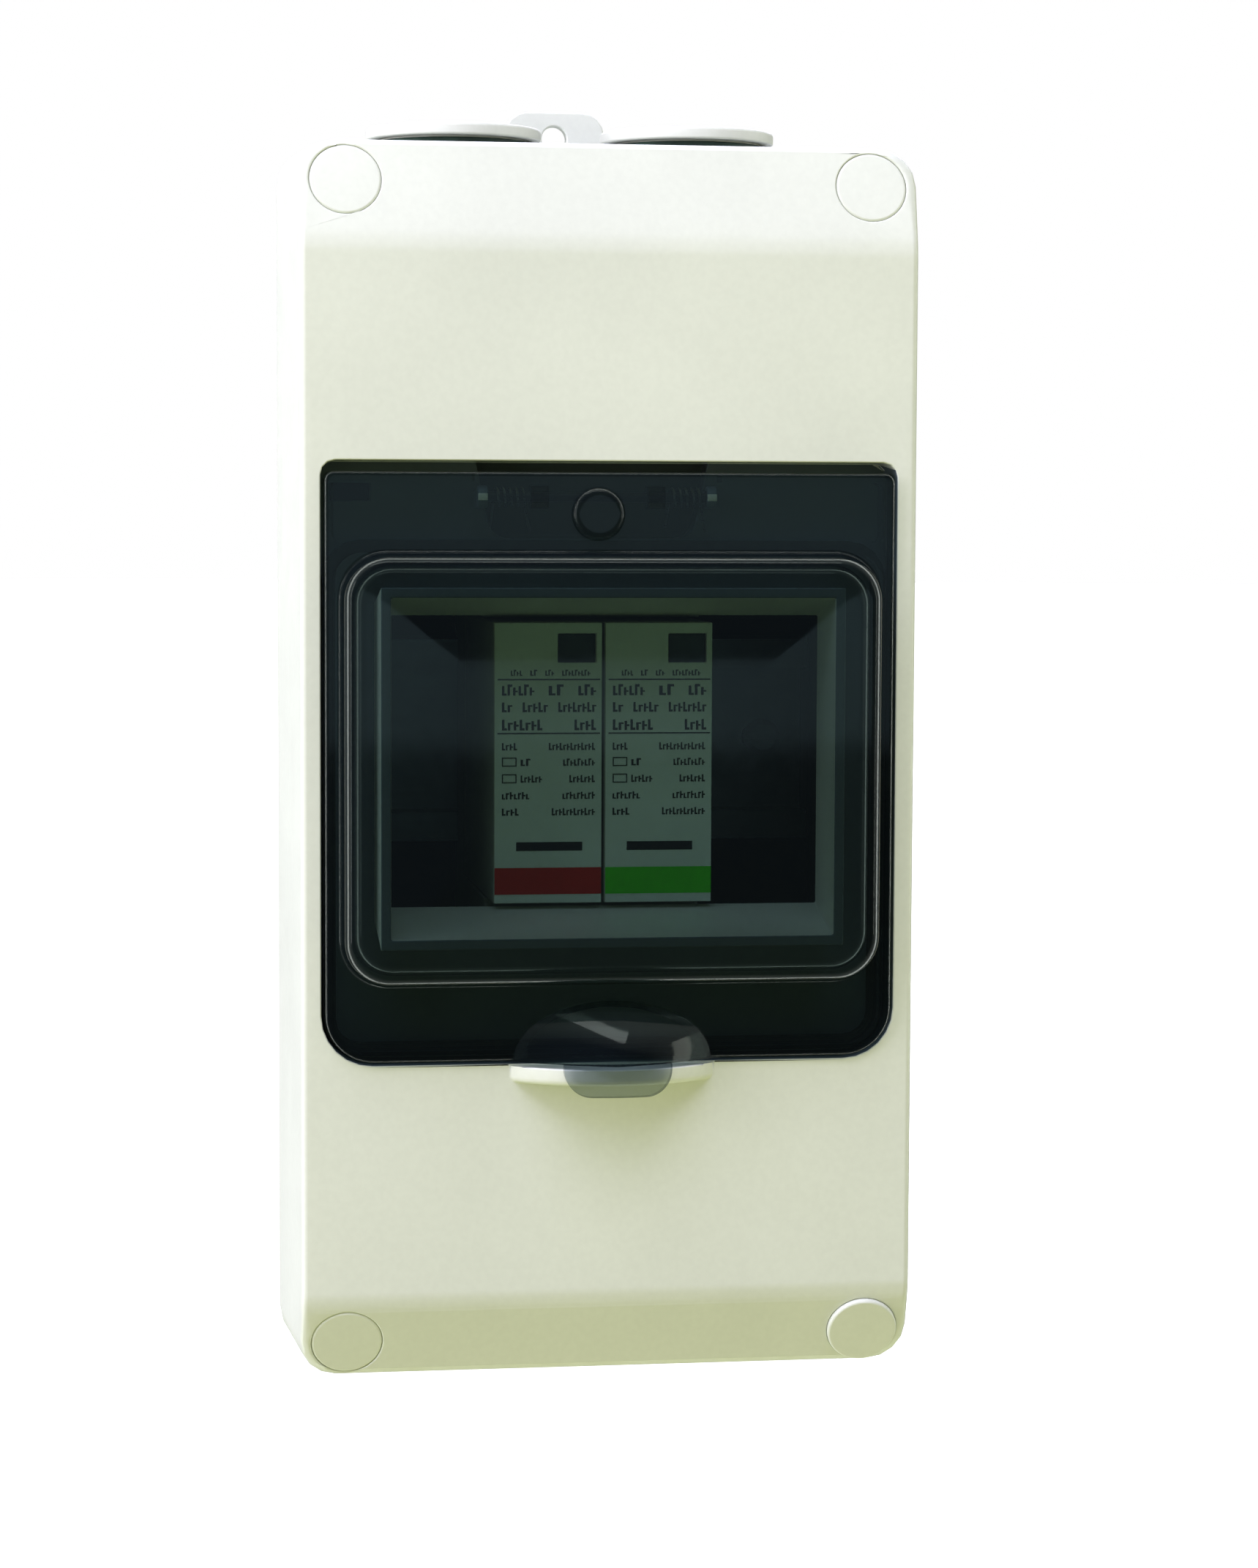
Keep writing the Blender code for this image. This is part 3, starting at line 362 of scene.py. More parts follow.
def round_edges(bm, pick, offset, segments=3):
    edges = [e for e in bm.edges if len(e.link_faces) == 2 and pick(e)]
    bmesh.ops.bevel(bm, geom=edges, offset=offset, segments=segments, profile=0.5, affect="EDGES")


def on_plane(edge, axis, value):
    return all(abs(v.co[axis] - value) < 1e-4 for v in edge.verts)


def trim(bm, point, normal):
    """Cuts away what lies beyond the plane and closes the cut."""
    geom = bm.verts[:] + bm.edges[:] + bm.faces[:]
    res = bmesh.ops.bisect_plane(bm, geom=geom, dist=1e-5, plane_co=point, plane_no=normal, clear_outer=True)
    rim = [e for e in res["geom_cut"] if isinstance(e, bmesh.types.BMEdge)]
    bmesh.ops.edgenet_fill(bm, edges=rim)


def combine(obj, pieces):
    """Booleans in order. pieces holds (bmesh, operation), in the same units as obj."""
    tools = []
    for bm, operation in pieces:
        bmesh.ops.recalc_face_normals(bm, faces=bm.faces)
        tool = add_object("tool", to_mesh("tool", bm))
        tools.append(tool)
        mod = obj.modifiers.new("cut", "BOOLEAN")
        mod.operation = operation
        mod.solver = "EXACT"
        mod.object = tool
    apply_modifiers(obj)
    for tool in tools:
        bpy.data.objects.remove(tool)


def lathe(profile, steps=96):
    """Closed profile of (radius, height) turned about Z."""
    bm = bmesh.new()
    rows = []
    for i in range(steps):
        a = 2 * math.pi * i / steps
        rows.append([bm.verts.new((r * math.cos(a), r * math.sin(a), z)) for r, z in profile])
    for i in range(steps):
        a, b = rows[i], rows[(i + 1) % steps]
        for k in range(len(profile)):
            n = (k + 1) % len(profile)
            bm.faces.new((a[k], b[k], b[n], a[n]))
    bmesh.ops.remove_doubles(bm, verts=bm.verts, dist=1e-5)
    return bm


def rounded(points, radii, steps=4):
    """Closed profile with its corners rounded; a radius of 0 keeps a corner sharp."""
    out = []
    n = len(points)
    for i, (point, radius) in enumerate(zip(points, radii)):
        p = Vector(point)
        if radius == 0:
            out.append(tuple(p))
            continue
        before = (Vector(points[i - 1]) - p).normalized()
        after = (Vector(points[(i + 1) % n]) - p).normalized()
        half = before.angle(after) / 2
        reach = radius / math.tan(half)
        centre = p + (before + after).normalized() * (radius / math.sin(half))
        start = (p + before * reach - centre).normalized()
        end = (p + after * reach - centre).normalized()
        for k in range(steps + 1):
            out.append(tuple(centre + start.slerp(end, k / steps) * radius))
    return out


SHARP_DEG = 38.0
SLIVER_WIDTH = 0.02


def is_sliver(face):
    """A triangle so thin that its normal means nothing."""
    return face.calc_area() < SLIVER_WIDTH * MM * max(e.calc_length() for e in face.edges)


def polished_copy(node, body, mat, width, skip=None):
    """Copy of a CAD node with its sharp edges rounded, in its place; skip(edge) spares some."""
    bm = bmesh.new()
    bm.from_mesh(frame["nodes"][node].data)
    bmesh.ops.remove_doubles(bm, verts=bm.verts, dist=1e-6)
    bmesh.ops.dissolve_limit(bm, angle_limit=math.radians(0.5), verts=bm.verts, edges=bm.edges)
    bmesh.ops.triangulate(bm, faces=bm.faces, ngon_method="BEAUTY", quad_method="BEAUTY")
    weights = bm.edges.layers.float.new("bevel_weight_edge")
    for e in bm.edges:
        thin = any(is_sliver(f) for f in e.link_faces)
        if math.degrees(e.calc_face_angle(0.0)) > SHARP_DEG and not thin and not (skip and skip(e)):
            e[weights] = 1.0
    obj = add_object(node + "_skin", to_mesh(node + "_skin", bm))
    bevel = obj.modifiers.new("edge", "BEVEL")
    bevel.width = width * MM
    bevel.segments = 3
    bevel.limit_method = "WEIGHT"
    bevel.use_clamp_overlap = False
    bevel.loop_slide = False
    apply_modifiers(obj)
    mesh = obj.data
    bpy.data.objects.remove(obj)
    piece = mount(node + "_skin", mesh, mat, body, 32.0)
    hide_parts(node)
    return piece


def paint(piece, mat, pick):
    """Gives the faces for which pick(centre, normal) is true a material of their own; here it paints shade.
    """
    piece.data.materials.append(MATS[mat])
    for face in piece.data.polygons:
        if pick(face.center / MM, face.normal):
            face.material_index = len(piece.data.materials) - 1


# Regions of the CAD skins painted darker as shade, as (low, high) along X, Y and Z; FRONT is clear of
# the whole part. Faces in the window's frame count only where they look forward.
FRONT = -90.0
TRAY = ((-45.55, 45.55), (-75.5, -63.0), (-46.75, 47.0))
FRAME = ((-37.0, 37.0), (FRONT, -63.0), (-28.6, 28.7))
POCKET = ((-21.0, 21.0), (-68.3, -63.0), (31.0, 47.0))
ROOM = ((-46.6, 46.6), (FRONT, -1.0), (-94.6, 94.6))
FORWARD = -0.6
SKIRT_TOP = -45.5


def within(point, region):
    return all(low < c < high for c, (low, high) in zip(point, region))


def in_tray(centre, normal):
    """The floor and walls behind the door with the window's rim, and not its inner walls."""
    return normal.y < FORWARD if within(centre, FRAME) else within(centre, TRAY)


def at_seam(edge):
    """The cover's thin skirt keeps its edges."""
    return all(v.co.y > SKIRT_TOP * MM for v in edge.verts)


# Door

DOOR_LO, DOOR_HI = cad_box("door")
DOOR_X = DOOR_HI.x
DOOR_TOP = DOOR_HI.z
DOOR_BOTTOM = -46.1
DOOR_Y = -78.0
DOOR_T = 2.0
DOOR_RIM = 6.5
BUBBLE_X = 42.9
BUBBLE_Z = (-34.4, 33.9)
BUBBLE_WALL = 1.6
RIM_WALL = 1.5
ROOM_DEEP = 9.0
RIB_Z = (33.7, 35.2)
PIN = Vector((0.0, -73.9, 42.2))
KNUCKLES = ((-12.6, -9.8), (5.8, 8.6))
KNUCKLE_R = 1.9
KNUCKLE_HALF = 1.7
BORE_R = 0.9
HINGE_X = (-20.3, 16.3)
HINGE_Z = (41.0, 52.0)
BUTTON = (-2.3, 39.6)
BUTTON_R = 4.2
BUTTON_Y = (DOOR_Y - 1.4, DOOR_Y + 1.2)
HOOD = Vector((0.3, DOOR_Y + 1.0, -46.25))
HOOD_SIZE = Vector((17.3, 8.3, 10.9))
HOOD_SLOPE = 1.3
HOOD_WALL = 1.6
LEDGE_R = 23.4
TAB_HALF = 8.5
TAB_Y = (-85.9, -84.25)
TAB_TOP = -46.0
TAB_CORNER = 4.2
TAB_STRIPS = 24
PER_CORNER = 14


def ring(half_x, low, high, r_low, r_high, y):
    """Rounded rectangle in the plane y; the lower and upper corners have their own radius."""
    points = []
    for sx, cz, r, start in ((1, high - r_high, r_high, 0), (-1, high - r_high, r_high, 90),
                             (-1, low + r_low, r_low, 180), (1, low + r_low, r_low, 270)):
        for i in range(PER_CORNER + 1):
            a = math.radians(start + 90.0 * i / PER_CORNER)
            points.append((sx * (half_x - r) + r * math.cos(a), y, cz + r * math.sin(a)))
    return points


def outline_ring(inset, y):
    return ring(DOOR_X - inset, DOOR_BOTTOM + inset, DOOR_TOP - inset,
                max(7.6 - inset, 0.5), max(1.6 - inset, 0.3), y)


def bubble_ring(inset, y):
    radius = max(7.5 - 0.6 * inset, 1.5)
    return ring(BUBBLE_X - inset, BUBBLE_Z[0] + inset, BUBBLE_Z[1] - inset, radius, radius, y)


def arc(cx, cy, radius, start, end, steps):
    """(inset, y) points on an arc; angle 0 points inwards and 90 to the front."""
    out = []
    for i in range(steps + 1):
        a = math.radians(start + (end - start) * i / steps)
        out.append((cx + radius * math.cos(a), cy - radius * math.sin(a)))
    return out


def dome_section(wall):
    """(inset, y) from the flange up the raised window to the middle of its face."""
    top = DOOR_Y - 5.45 + wall
    side = wall + 0.35
    foot = DOOR_T + 0.6 if wall else 0.0
    points = [(side, DOOR_Y - 0.9 + foot), (side + 0.25, DOOR_Y - 2.9 + wall)]
    points += arc(side + 2.65, top + 2.35, 2.35, 180, 96, 7)
    points += [(wall + 6.5, top - 0.35), (wall + 12.0, top - 0.95), (wall + 18.0, top - 1.35),
               (wall + 25.0, top - 1.6)]
    return points


def skin(rings):
    """Closed form through rings of the same number of points."""
    bm = bmesh.new()
    rows = [[bm.verts.new(p) for p in r] for r in rings]
    n = len(rows[0])
    for a, b in zip(rows, rows[1:]):
        for i in range(n):
            bm.faces.new((a[i], a[(i + 1) % n], b[(i + 1) % n], b[i]))
    bm.faces.new(rows[0])
    bm.faces.new(rows[-1])
    return bm


def door_blank():
    """Outer form of the door: rim, flange and raised window, solid."""
    back = DOOR_Y + DOOR_RIM
    rings = [outline_ring(0.25, back), outline_ring(0.0, back - 0.25)]
    rings += [outline_ring(i, y) for i, y in arc(0.7, DOOR_Y + 0.7, 0.7, 180, 90, 5)]
    foot = arc(-0.05, DOOR_Y - 0.5, 0.5, -90, 0, 3)
    rings += [bubble_ring(i - 0.1, y) for i, y in foot]
    rings += [bubble_ring(i, y) for i, y in dome_section(0.0)]
    return skin(rings)


def bubble_room():
    """The hollow of the raised window."""
    back = DOOR_Y + DOOR_T + 1.0
    rings = [bubble_ring(BUBBLE_WALL + 0.1, back)]
    rings += [bubble_ring(i, y) for i, y in dome_section(BUBBLE_WALL)]
    return skin(rings)


def hood(wall, back_y):
    """Half dome over the tab, shrunk by wall for its hollow."""
    bm = bmesh.new()
    size = Vector([c - wall for c in HOOD_SIZE])
    bmesh.ops.create_uvsphere(bm, u_segments=72, v_segments=36, radius=1.0)
    for v in bm.verts:
        reach = min(1.0, math.hypot(v.co.x, v.co.z))
        depth = math.copysign(1.0 - reach ** HOOD_SLOPE, v.co.y) * size.y
        v.co = (HOOD.x + v.co.x * size.x, HOOD.y + depth, HOOD.z + v.co.z * size.z)
    bmesh.ops.dissolve_degenerate(bm, dist=1e-4, edges=bm.edges)
    trim(bm, (0, back_y, 0), (0, 1, 0))
    if wall == 0.0:
        trim(bm, (0, 0, HOOD.z), (0, 0, -1))
    return bm


def tab():
    """Fingertip lip under the hood, bent to follow the arched ledge."""
    low = DOOR_LO.z
    bm = block((-TAB_HALF, TAB_Y[0], low), (TAB_HALF, TAB_Y[1], TAB_TOP))
    round_edges(bm, lambda e: on_plane(e, 2, low) and abs((e.verts[0].co - e.verts[1].co).y) > 1.0,
                TAB_CORNER, 12)
    for i in range(1, TAB_STRIPS):
        x = -TAB_HALF + 2 * TAB_HALF * i / TAB_STRIPS
        geom = bm.verts[:] + bm.edges[:] + bm.faces[:]
        bmesh.ops.bisect_plane(bm, geom=geom, dist=1e-5, plane_co=(x, 0, 0), plane_no=(1, 0, 0))
    for v in bm.verts:
        v.co.y += v.co.x ** 2 / (2 * (LEDGE_R + 1.0))
        v.co.x += HOOD.x
    bmesh.ops.triangulate(bm, faces=bm.faces)
    return bm


def button():
    """Round boss at the top of the door."""
    front, back = BUTTON_Y
    bm = rod((BUTTON[0], (front + back) / 2, BUTTON[1]), BUTTON_R, back - front, 1, 64)
    round_edges(bm, lambda e: on_plane(e, 1, front), 1.3, 8)
    return bm


def door_piece():
    """The smoked door with its hinge knuckles, and the thinner tab under its hood."""
    bm = door_blank()
    bmesh.ops.recalc_face_normals(bm, faces=bm.faces)
    obj = add_object("door_tmp", to_mesh("door_skin", bm))
    back = DOOR_Y + DOOR_T
    deep = back + ROOM_DEEP
    side = DOOR_X - RIM_WALL
    low_room = block((-side, back, DOOR_BOTTOM + RIM_WALL), (side, deep, RIB_Z[0]), 5.0, 8)
    top_room = block((-side, back, RIB_Z[1]), (side, deep, DOOR_TOP - RIM_WALL), 1.2, 4)
    hinge_room = block((HINGE_X[0] - 1.2, back, HINGE_Z[0]), (HINGE_X[1] + 1.2, deep, HINGE_Z[1]))
    pieces = [
        (low_room, "DIFFERENCE"), (top_room, "DIFFERENCE"), (hinge_room, "DIFFERENCE"),
        (hood(0.0, DOOR_Y + 1.3), "UNION"), (button(), "UNION"),
        (bubble_room(), "DIFFERENCE"), (hood(HOOD_WALL, back + 0.4), "DIFFERENCE"),
    ]
    for x0, x1 in KNUCKLES:
        at = ((x0 + x1) / 2, PIN.y, PIN.z)
        web = block((x0 + 0.05, back - 0.5, PIN.z - KNUCKLE_HALF),
                    (x1 - 0.05, PIN.y, PIN.z + KNUCKLE_HALF))
        pieces.append((web, "UNION"))
        pieces.append((rod(at, KNUCKLE_R, x1 - x0, 0), "UNION"))
        pieces.append((rod(at, BORE_R, x1 - x0 + 2.0, 0, 24), "DIFFERENCE"))
    combine(obj, pieces)
    mesh = obj.data
    bpy.data.objects.remove(obj)
    mesh.transform(Matrix.Scale(MM, 4))
    piece = mount("door_skin", mesh, "smoked_clear", "door", 30.0)
    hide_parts("door")
    make("door_tab", tab(), "smoked_thin", "door", 30.0)


# Turned pieces

FLANGE_T = 2.0
BARREL_R = 12.4
SEAL_BORE = 12.85
SEAL_RISE = 0.95
CAP_R = 5.62
CAP_AXIS = {"upper": Vector((0, -0.9598, 0.2807)), "lower": Vector((0, -0.9259, -0.3778))}


def collar_piece(side):
    """Snap-in cable entry: wide flange, barrel with a barb, and a thin ring about the hole."""
    lo, hi = cad_box("entry_collar_" + side)
    top = hi.z
    reach = (hi.x - lo.x) / 2
    low = lo.z
    under = top - FLANGE_T
    points = [(reach, top), (reach, under), (BARREL_R, under), (BARREL_R, low + 3.5),
              (13.2, low + 2.4), (11.5, low), (10.6, low), (10.6, top - 2.6), (4.0, top - 2.2),
              (4.0, top - 1.2), (10.9, top - 1.2), (11.8, top)]
    radii = [0.6, 0.35, 0, 0, 0.2, 0.3, 0.3, 0.3, 0.3, 0.3, 0.5, 0.4]
    bm = lathe(rounded(points, radii))
    bmesh.ops.translate(bm, verts=bm.verts, vec=((lo.x + hi.x) / 2, (lo.y + hi.y) / 2, 0.0))
    piece = make("collar_" + side, bm, "collar_grey", "base")
    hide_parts("entry_collar_" + side)


def seal_piece(side):
    """Rubber ring squeezed under the flange."""
    lo, hi = cad_box("entry_seal_" + side)
    reach = (hi.x - lo.x) / 2
    high = hi.z + SEAL_RISE
    points = [(SEAL_BORE, lo.z), (reach, lo.z), (reach, high), (SEAL_BORE, high)]
    bm = lathe(rounded(points, [0, 0.35, 0.35, 0], 5))
    bmesh.ops.translate(bm, verts=bm.verts, vec=((lo.x + hi.x) / 2, (lo.y + hi.y) / 2, 0.0))
    piece = make("seal_" + side, bm, "seal_rubber", "base")
    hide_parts("entry_seal_" + side)


def cap_piece(corner):
    """Snap-in cap with a softly rounded rim and a short stem."""
    lo, hi = cad_box("screw_cap_" + corner)
    axis = CAP_AXIS[corner.split("_")[0]].normalized()
    verts = [Vector(v.co) / MM for v in frame["nodes"]["screw_cap_" + corner].data.vertices]
    heights = [v.dot(axis) for v in verts]
    top = max(heights)
    rim = [v for v, h in zip(verts, heights) if h > top - 0.3]
    centre = sum(rim, Vector()) / len(rim)
    centre += axis * (top - centre.dot(axis))
    points = [(0.001, 0.0), (CAP_R, 0.0), (CAP_R, -1.5), (2.5, -1.5), (2.5, -3.2), (1.6, -3.2),
              (1.6, -1.9), (0.001, -1.9)]
    bm = lathe(rounded(points, [0, 0.45, 0.15, 0, 0.2, 0.1, 0, 0]), 72)
    turn = Vector((0, 0, 1)).rotation_difference(axis).to_matrix().to_4x4()
    centre.x = (lo.x + hi.x) / 2
    bm.transform(Matrix.Translation(centre) @ turn)
    piece = make("cap_" + corner, bm, "soft_grey", "cap_" + corner)
    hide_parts("screw_cap_" + corner)


# Printed labels on the plugs: x is from the middle of the module, z from the middle of the part.
# A word row is (z, height, span, widths of its words); a pair row is (z, left run, right run, boxed).

LABEL = (-8.55, 8.55, -22.25, 22.25)
STRIP_Z = (-20.9, -16.65)
WINDOW = (1.45, 7.75, 15.95, 20.7)
RULES = ((-8.1, 8.3, 13.2), (-8.1, 8.3, 4.65))
WORD_ROWS = (
    (13.92, 0.95, (-6.0, 6.8), (1.9, 1.2, 1.5, 4.6)),
    (10.8, 1.75, (-7.4, 7.8), (5.3, 2.6, 3.0)),
    (8.15, 1.55, (-7.4, 7.8), (1.8, 4.2, 6.2)),
    (5.25, 1.7, (-7.4, 7.8), (6.6, 3.6)),
)
PAIR_ROWS = (
    (2.1, -7.4, -4.9, 0.1, 7.6, False), (-0.4, -4.4, -2.7, 2.4, 7.6, True),
    (-3.05, -4.4, -0.9, 3.4, 7.6, True), (-5.7, -7.4, -2.9, 2.3, 7.6, False),
    (-8.3, -7.4, -4.6, 0.6, 7.6, False),
)
BAR = (-5.1, 5.5, -13.95, -12.55)
INK_T = 0.025
SMALL_PRINT = 1.15
BAR_SHARE = 0.42


def add_box(bm, x0, x1, z0, z1, y0, y1):
    geom = bmesh.ops.create_cube(bm, size=1.0)
    place = Matrix.Translation(((x0 + x1) / 2, (y0 + y1) / 2, (z0 + z1) / 2))
    place = place @ Matrix.Diagonal((x1 - x0, y1 - y0, z1 - z0, 1.0))
    bmesh.ops.transform(bm, matrix=place, verts=geom["verts"])


def strokes(bm, x0, x1, z0, height, cx, y0, y1):
    """A run of short uneven bars: reads as small print from afar and spells nothing."""
    pitch = height * 0.5
    count = max(1, int((x1 - x0) / pitch))
    step = (x1 - x0) / count
    for i in range(count):
        a = cx + x0 + i * step
        tall = height * (1.0, 0.72, 0.86)[(i * 7 + int(z0 * 3)) % 3]
        mid, end = a + step * BAR_SHARE, a + step * BAR_SHARE * 2
        low, high = ((0.0, 0.22), (0.42, 0.62), (0.78, 1.0))[(i * 5) % 3]
        add_box(bm, a, mid, z0, z0 + tall, y0, y1)
        add_box(bm, mid, end, z0 + tall * low, z0 + tall * high, y0, y1)


def word_row(bm, z, height, span, words, cx, y0, y1):
    gap = (span[1] - span[0] - sum(words)) / max(1, len(words) - 1)
    x = span[0]
    for width in words:
        strokes(bm, x, x + width, z, height, cx, y0, y1)
        x += width + gap


def outline_mark(bm, x0, x1, z0, z1, line, y0, y1):
    add_box(bm, x0, x1, z0, z0 + line, y0, y1)
    add_box(bm, x0, x1, z1 - line, z1, y0, y1)
    add_box(bm, x0, x0 + line, z0 + line, z1 - line, y0, y1)
    add_box(bm, x1 - line, x1, z0 + line, z1 - line, y0, y1)


def label_pieces(side):
    """Film round the status window, its print, and the coloured strip below."""
    node = "arrester_plug_" + side
    lo, hi = cad_box(node)
    cx = (lo.x + hi.x) / 2
    front = lo.y
    body = "plug_" + side
    x0, x1, z0, z1 = LABEL
    wx0, wx1, wz0, wz1 = WINDOW
    film_y = front - 0.12
    film = bmesh.new()
    for a, b, c, d in ((x0, x1, z0, wz0), (x0, x1, wz1, z1), (x0, wx0, wz0, wz1), (wx1, x1, wz0, wz1)):
        add_box(film, cx + a, cx + b, c, d, film_y, front - 0.02)
    bmesh.ops.remove_doubles(film, verts=film.verts, dist=1e-4)
    make("label_" + side, film, "label_film", body)
    ink = bmesh.new()
    y1 = film_y - 0.005
    y0 = y1 - INK_T
    for a, b, z in RULES:
        add_box(ink, cx + a, cx + b, z, z + 0.22, y0, y1)
    for z, height, span, words in WORD_ROWS:
        word_row(ink, z, height, span, words, cx, y0, y1)
    for z, a0, a1, b0, b1, boxed in PAIR_ROWS:
        strokes(ink, a0, a1, z, SMALL_PRINT, cx, y0, y1)
        strokes(ink, b0, b1, z, SMALL_PRINT, cx, y0, y1)
        if boxed:
            outline_mark(ink, cx - 7.4, cx - 5.05, z - 0.1, z + 1.35, 0.18, y0, y1)
    add_box(ink, cx + BAR[0], cx + BAR[1], BAR[2], BAR[3], y0, y1)
    make("print_" + side, ink, "print_ink", body)
    strip = bmesh.new()
    add_box(strip, cx + x0, cx + x1, STRIP_Z[0], STRIP_Z[1], film_y - 0.04, film_y - 0.005)
    make("strip_" + side, strip, "strip_red" if side == "left" else "strip_green", body)


# Pieces

shell = polished_copy("front_cover", "cover", "shell_grey", 0.25, at_seam)
# Painted shade: the tray behind the door and the window's forward rim are coloured dark.
paint(shell, "tray_painted_shade", in_tray)
# Painted shade: the hinge pocket is coloured dark.
paint(shell, "pocket_painted_shade", lambda centre, normal: within(centre, POCKET))
box = polished_copy("base_box", "base", "shell_grey", 0.3)
# Painted shade: the inside of the box is coloured near black.
paint(box, "room_painted_shade", lambda centre, normal: within(centre, ROOM))
for side in SIDES:
    polished_copy("arrester_plug_" + side, "plug_" + side, "plug_white", 0.25)
    polished_copy("arrester_base_" + side, "base", "module_grey", 0.25)
    collar_piece(side)
    seal_piece(side)
    label_pieces(side)
for corner in CORNERS:
    cap_piece(corner)
door_piece()

NODE_MATS = {
    "cover_gasket": "black_rubber", "door_seal": "black_rubber", "din_rail": "zinc_steel",
    "hinge_pin": "pin_dark", "hinge_spring": "spring_steel", "rail_screw": "zinc_steel",
    "cover_screw": "zinc_steel", "contact_blade": "tinned_copper", "terminal": "zinc_steel",
    "indicator_flag": "flag_green", "rail_clip": "clip_black",
}
for name, obj in frame["nodes"].items():
    for start, mat in NODE_MATS.items():
        if name.startswith(start):
            for i in range(len(obj.material_slots)):
                obj.material_slots[i].material = MATS[mat]


# Floor, light and camera: centres and sizes of lights and cards are in metres. The camera's
# numbers are in pixels of the whole image, millimetres and radians.

AIM = (0.0, -0.05, 0.0)
SKY = ((0.0, (1.0, 1.02, 0.52)), (1.0, (0.02, 0.02, 0.02)))
SKY_BEHIND = (0.86, 0.85, 1.75)
RING_TINT = (1.0, 1.08, 1.02)
RING = (
    (0.2, (0.02, 0.024, 0.028)), (0.36, (0.4, 0.45, 0.42)), (0.46, shade(RING_TINT, 0.8)),
    (0.52, shade(RING_TINT, 5.5)), (0.58, shade(RING_TINT, 5.5)), (0.64, shade(RING_TINT, 0.3)),
)
IMAGE_PX = (1719.0, 2142.0)
CENTRE_PX = (870.819, 1063.431)
FOCAL_PX = 5139.524
SENSOR = 36.0
EYE = (-82.565, -659.896, 42.593)
EYE_TURN = (0.14767114, 0.07524505, 0.00445673)
FLOOR_GAP_M = 0.0006
FLOOR_RADIUS_M = 6.0


def panel(name, centre, size, target, colour, strength):
    """Glowing card that only gloss sees."""
    bm = bmesh.new()
    bmesh.ops.create_grid(bm, x_segments=1, y_segments=1, size=0.5)
    mesh = to_mesh(name, bm)
    obj = add_object(name, mesh)
    g = material(name)
    glow = g.add("Emission")
    glow.inputs["Color"].default_value = rgba(colour)
    glow.inputs["Strength"].default_value = strength
    mesh.materials.append(g.finish(glow))
    obj.scale = (*size, 1.0)
    obj.location = centre
    obj.rotation_euler = (Vector(target) - Vector(centre)).to_track_quat("Z", "Y").to_euler()
    obj.visible_camera = False
    obj.visible_diffuse = False
    obj.visible_shadow = False
    obj.visible_transmission = False


def area(name, centre, size, energy, colour, gloss=False):
    """Soft light aimed at the part; without gloss it leaves no reflection."""
    data = bpy.data.lights.new(name, "AREA")
    data.shape = "RECTANGLE"
    data.size, data.size_y = size
    data.energy = energy
    data.color = colour
    obj = add_object(name, data)
    obj.location = centre
    obj.rotation_euler = (Vector(AIM) - Vector(centre)).to_track_quat("-Z", "Y").to_euler()
    obj.visible_camera = False
    obj.visible_glossy = gloss


def floor():
    """Pale disc just under the part, lit from within so it stays white."""
    low = CAD_BOUNDS[0][2] - FLOOR_GAP_M
    bm = bmesh.new()
    bmesh.ops.create_circle(bm, cap_ends=True, segments=64, radius=FLOOR_RADIUS_M)
    mesh = to_mesh("floor", bm)
    obj = add_object("floor", mesh)
    obj.location = (0.0, 0.0, low)
    g = material("floor_white")
    shader = g.add("BsdfPrincipled")
    shader.inputs["Base Color"].default_value = (0.85, 0.86, 0.84, 1.0)
    shader.inputs["Roughness"].default_value = 0.9
    shader.inputs["Emission Color"].default_value = (1.0, 1.0, 1.0, 1.0)
    shader.inputs["Emission Strength"].default_value = 1.0
    mesh.materials.append(g.finish(shader))
    obj.visible_diffuse = False
    obj.visible_glossy = False
    obj.visible_transmission = False
    obj.visible_shadow = False


def world():
    """White to the camera and a soft sky to matt surfaces. Gloss sees a bright ring at the sides."""
    g = Graph(bpy.data.worlds.new("studio"), "OutputWorld")
    rays = g.add("LightPath").outputs
    split = g.add("SeparateXYZ", Vector=g.add("TexCoord").outputs["Generated"]).outputs
    height = g.remap(split["Z"], -1.0, 1.0, 0.0, 1.0)
    behind = g.remap(split["Y"], -0.1, 0.4, 0.0, 1.0)
    turn = g.remap(split["Y"], -1.0, 1.0, 0.0, 1.0)
    sky = g.blend(behind, g.ramp(height, SKY), rgba(SKY_BEHIND), "MULTIPLY")
    matt = g.add("Background", Color=sky)
    gloss = g.add("Background", Color=g.ramp(turn, RING))
    white = g.add("Background", Color=rgba((1.0, 1.0, 1.0)))
    seen = g.mix(rays["Is Glossy Ray"], matt, gloss)
    bpy.context.scene.world = g.finish(g.mix(rays["Is Camera Ray"], seen, white))


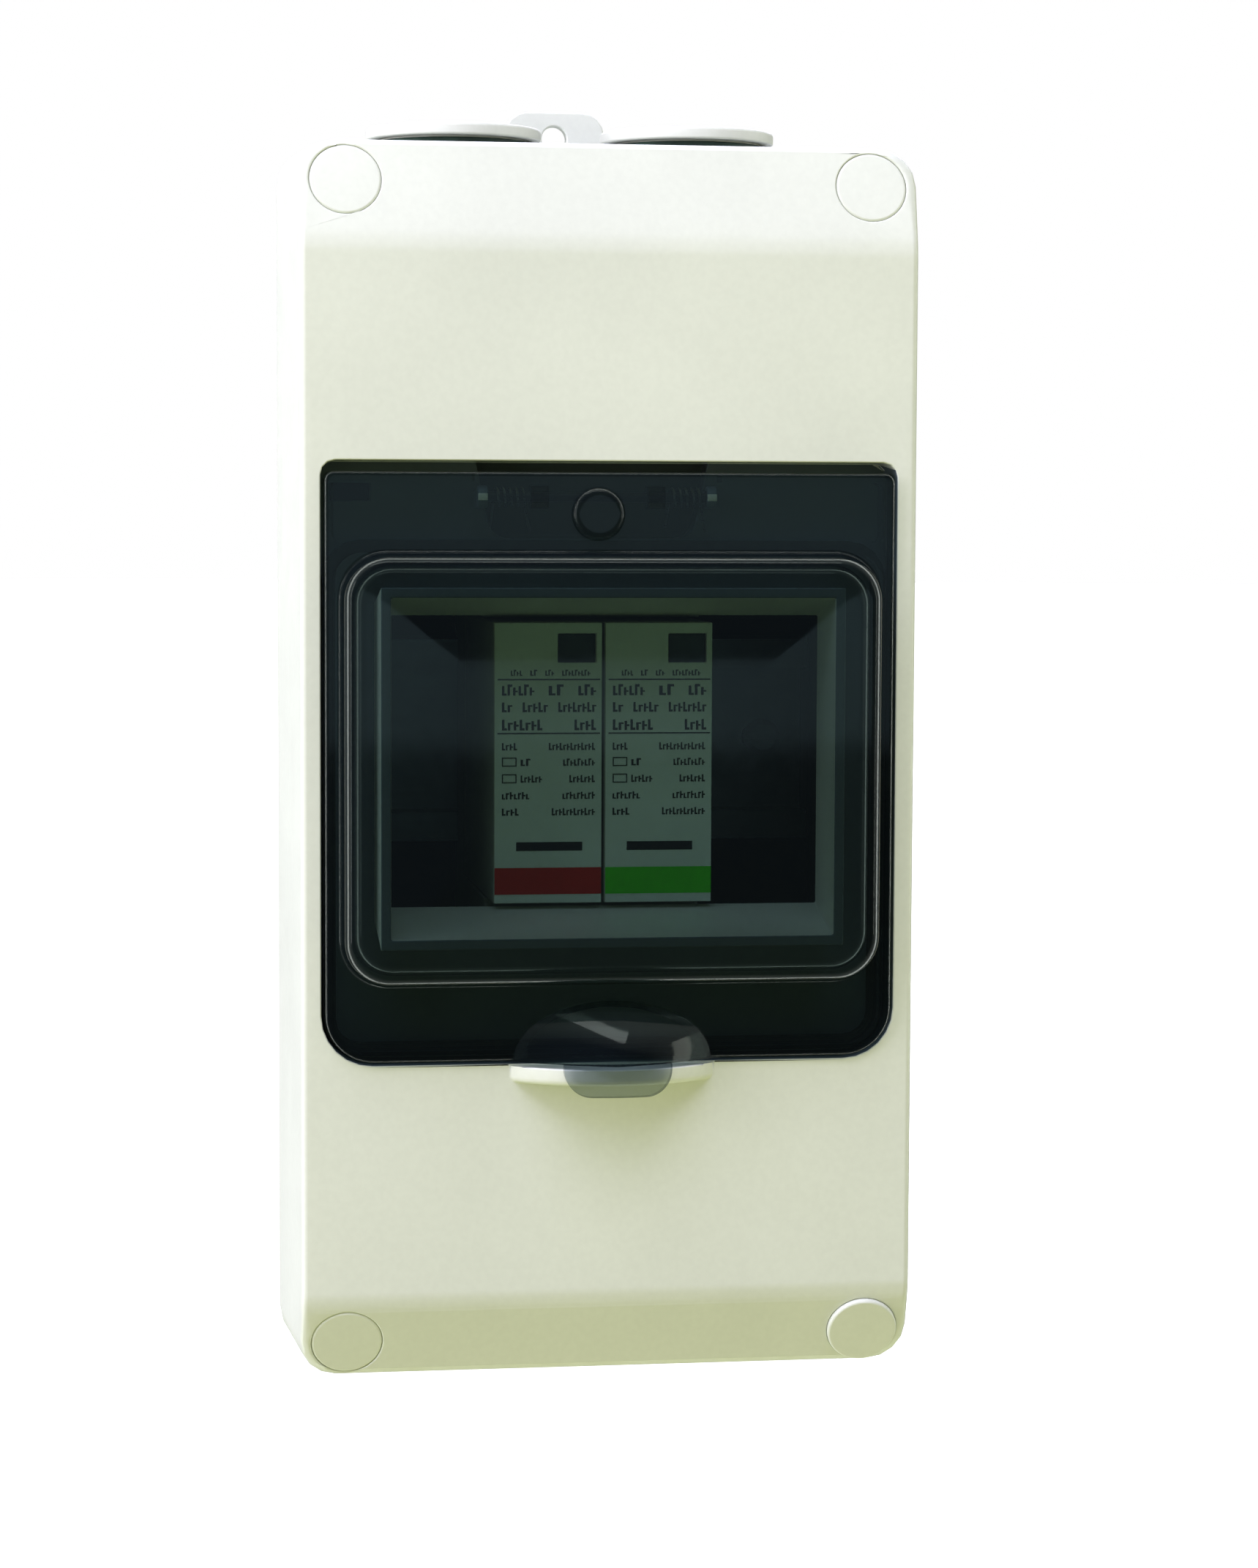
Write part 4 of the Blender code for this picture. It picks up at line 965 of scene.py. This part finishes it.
def camera():
    """The photographer's eye: left of the middle, a little above, looking slightly down."""
    yaw, pitch, roll = EYE_TURN
    fwd = Vector((math.sin(yaw) * math.cos(pitch), math.cos(yaw) * math.cos(pitch), -math.sin(pitch)))
    right = Vector((math.cos(yaw), -math.sin(yaw), 0.0))
    up = right.cross(fwd)
    tilt_right = math.cos(roll) * right + math.sin(roll) * up
    tilt_up = math.cos(roll) * up - math.sin(roll) * right
    data = bpy.data.cameras.new("camera")
    data.sensor_fit = "AUTO"
    data.sensor_width = SENSOR
    data.lens = FOCAL_PX / IMAGE_PX[1] * SENSOR
    data.shift_x = (IMAGE_PX[0] / 2 - CENTRE_PX[0]) / IMAGE_PX[1]
    data.shift_y = (CENTRE_PX[1] - IMAGE_PX[1] / 2) / IMAGE_PX[1]
    data.clip_start = 0.01
    obj = add_object("camera", data)
    place = Matrix((tilt_right, tilt_up, -fwd)).transposed().to_4x4()
    place.translation = Vector(EYE) * MM
    obj.matrix_world = place
    bpy.context.scene.camera = obj


area("top_light", (-0.2, -0.52, 1.0), (1.1, 0.7), 14.2, (1.0, 0.97, 1.29))
area("left_light", (-1.12, -0.35, 0.40), (0.5, 1.1), 16.0, (1.0, 0.96, 1.16))
area("right_light", (1.25, -0.45, 0.2), (0.35, 0.9), 1.5, (1.0, 1.0, 1.0))
area("back_light", (0.3, 1.3, 0.9), (1.2, 0.9), 17.0, (1.0, 0.97, 1.22), gloss=True)
panel("blue_card", (0.25, -1.4, 0.015), (1.3, 0.205), (0.1, 0.0, 0.0), (0.18, 0.26, 0.30), 1.0)
panel("top_card", (-0.1, -0.55, 1.1), (1.0, 0.16), AIM, (1.0, 1.1, 1.05), 1.8)
panel("left_card", (-1.1, -0.55, 0.2), (0.16, 0.9), AIM, (0.95, 1.08, 1.05), 1.8)
panel("right_card", (1.1, -0.6, 0.15), (0.10, 0.7), AIM, (1.0, 1.08, 0.95), 1.6)
floor()
world()
camera()
bpy.context.scene.view_settings.view_transform = "Standard"

bpy.context.view_layer.update()
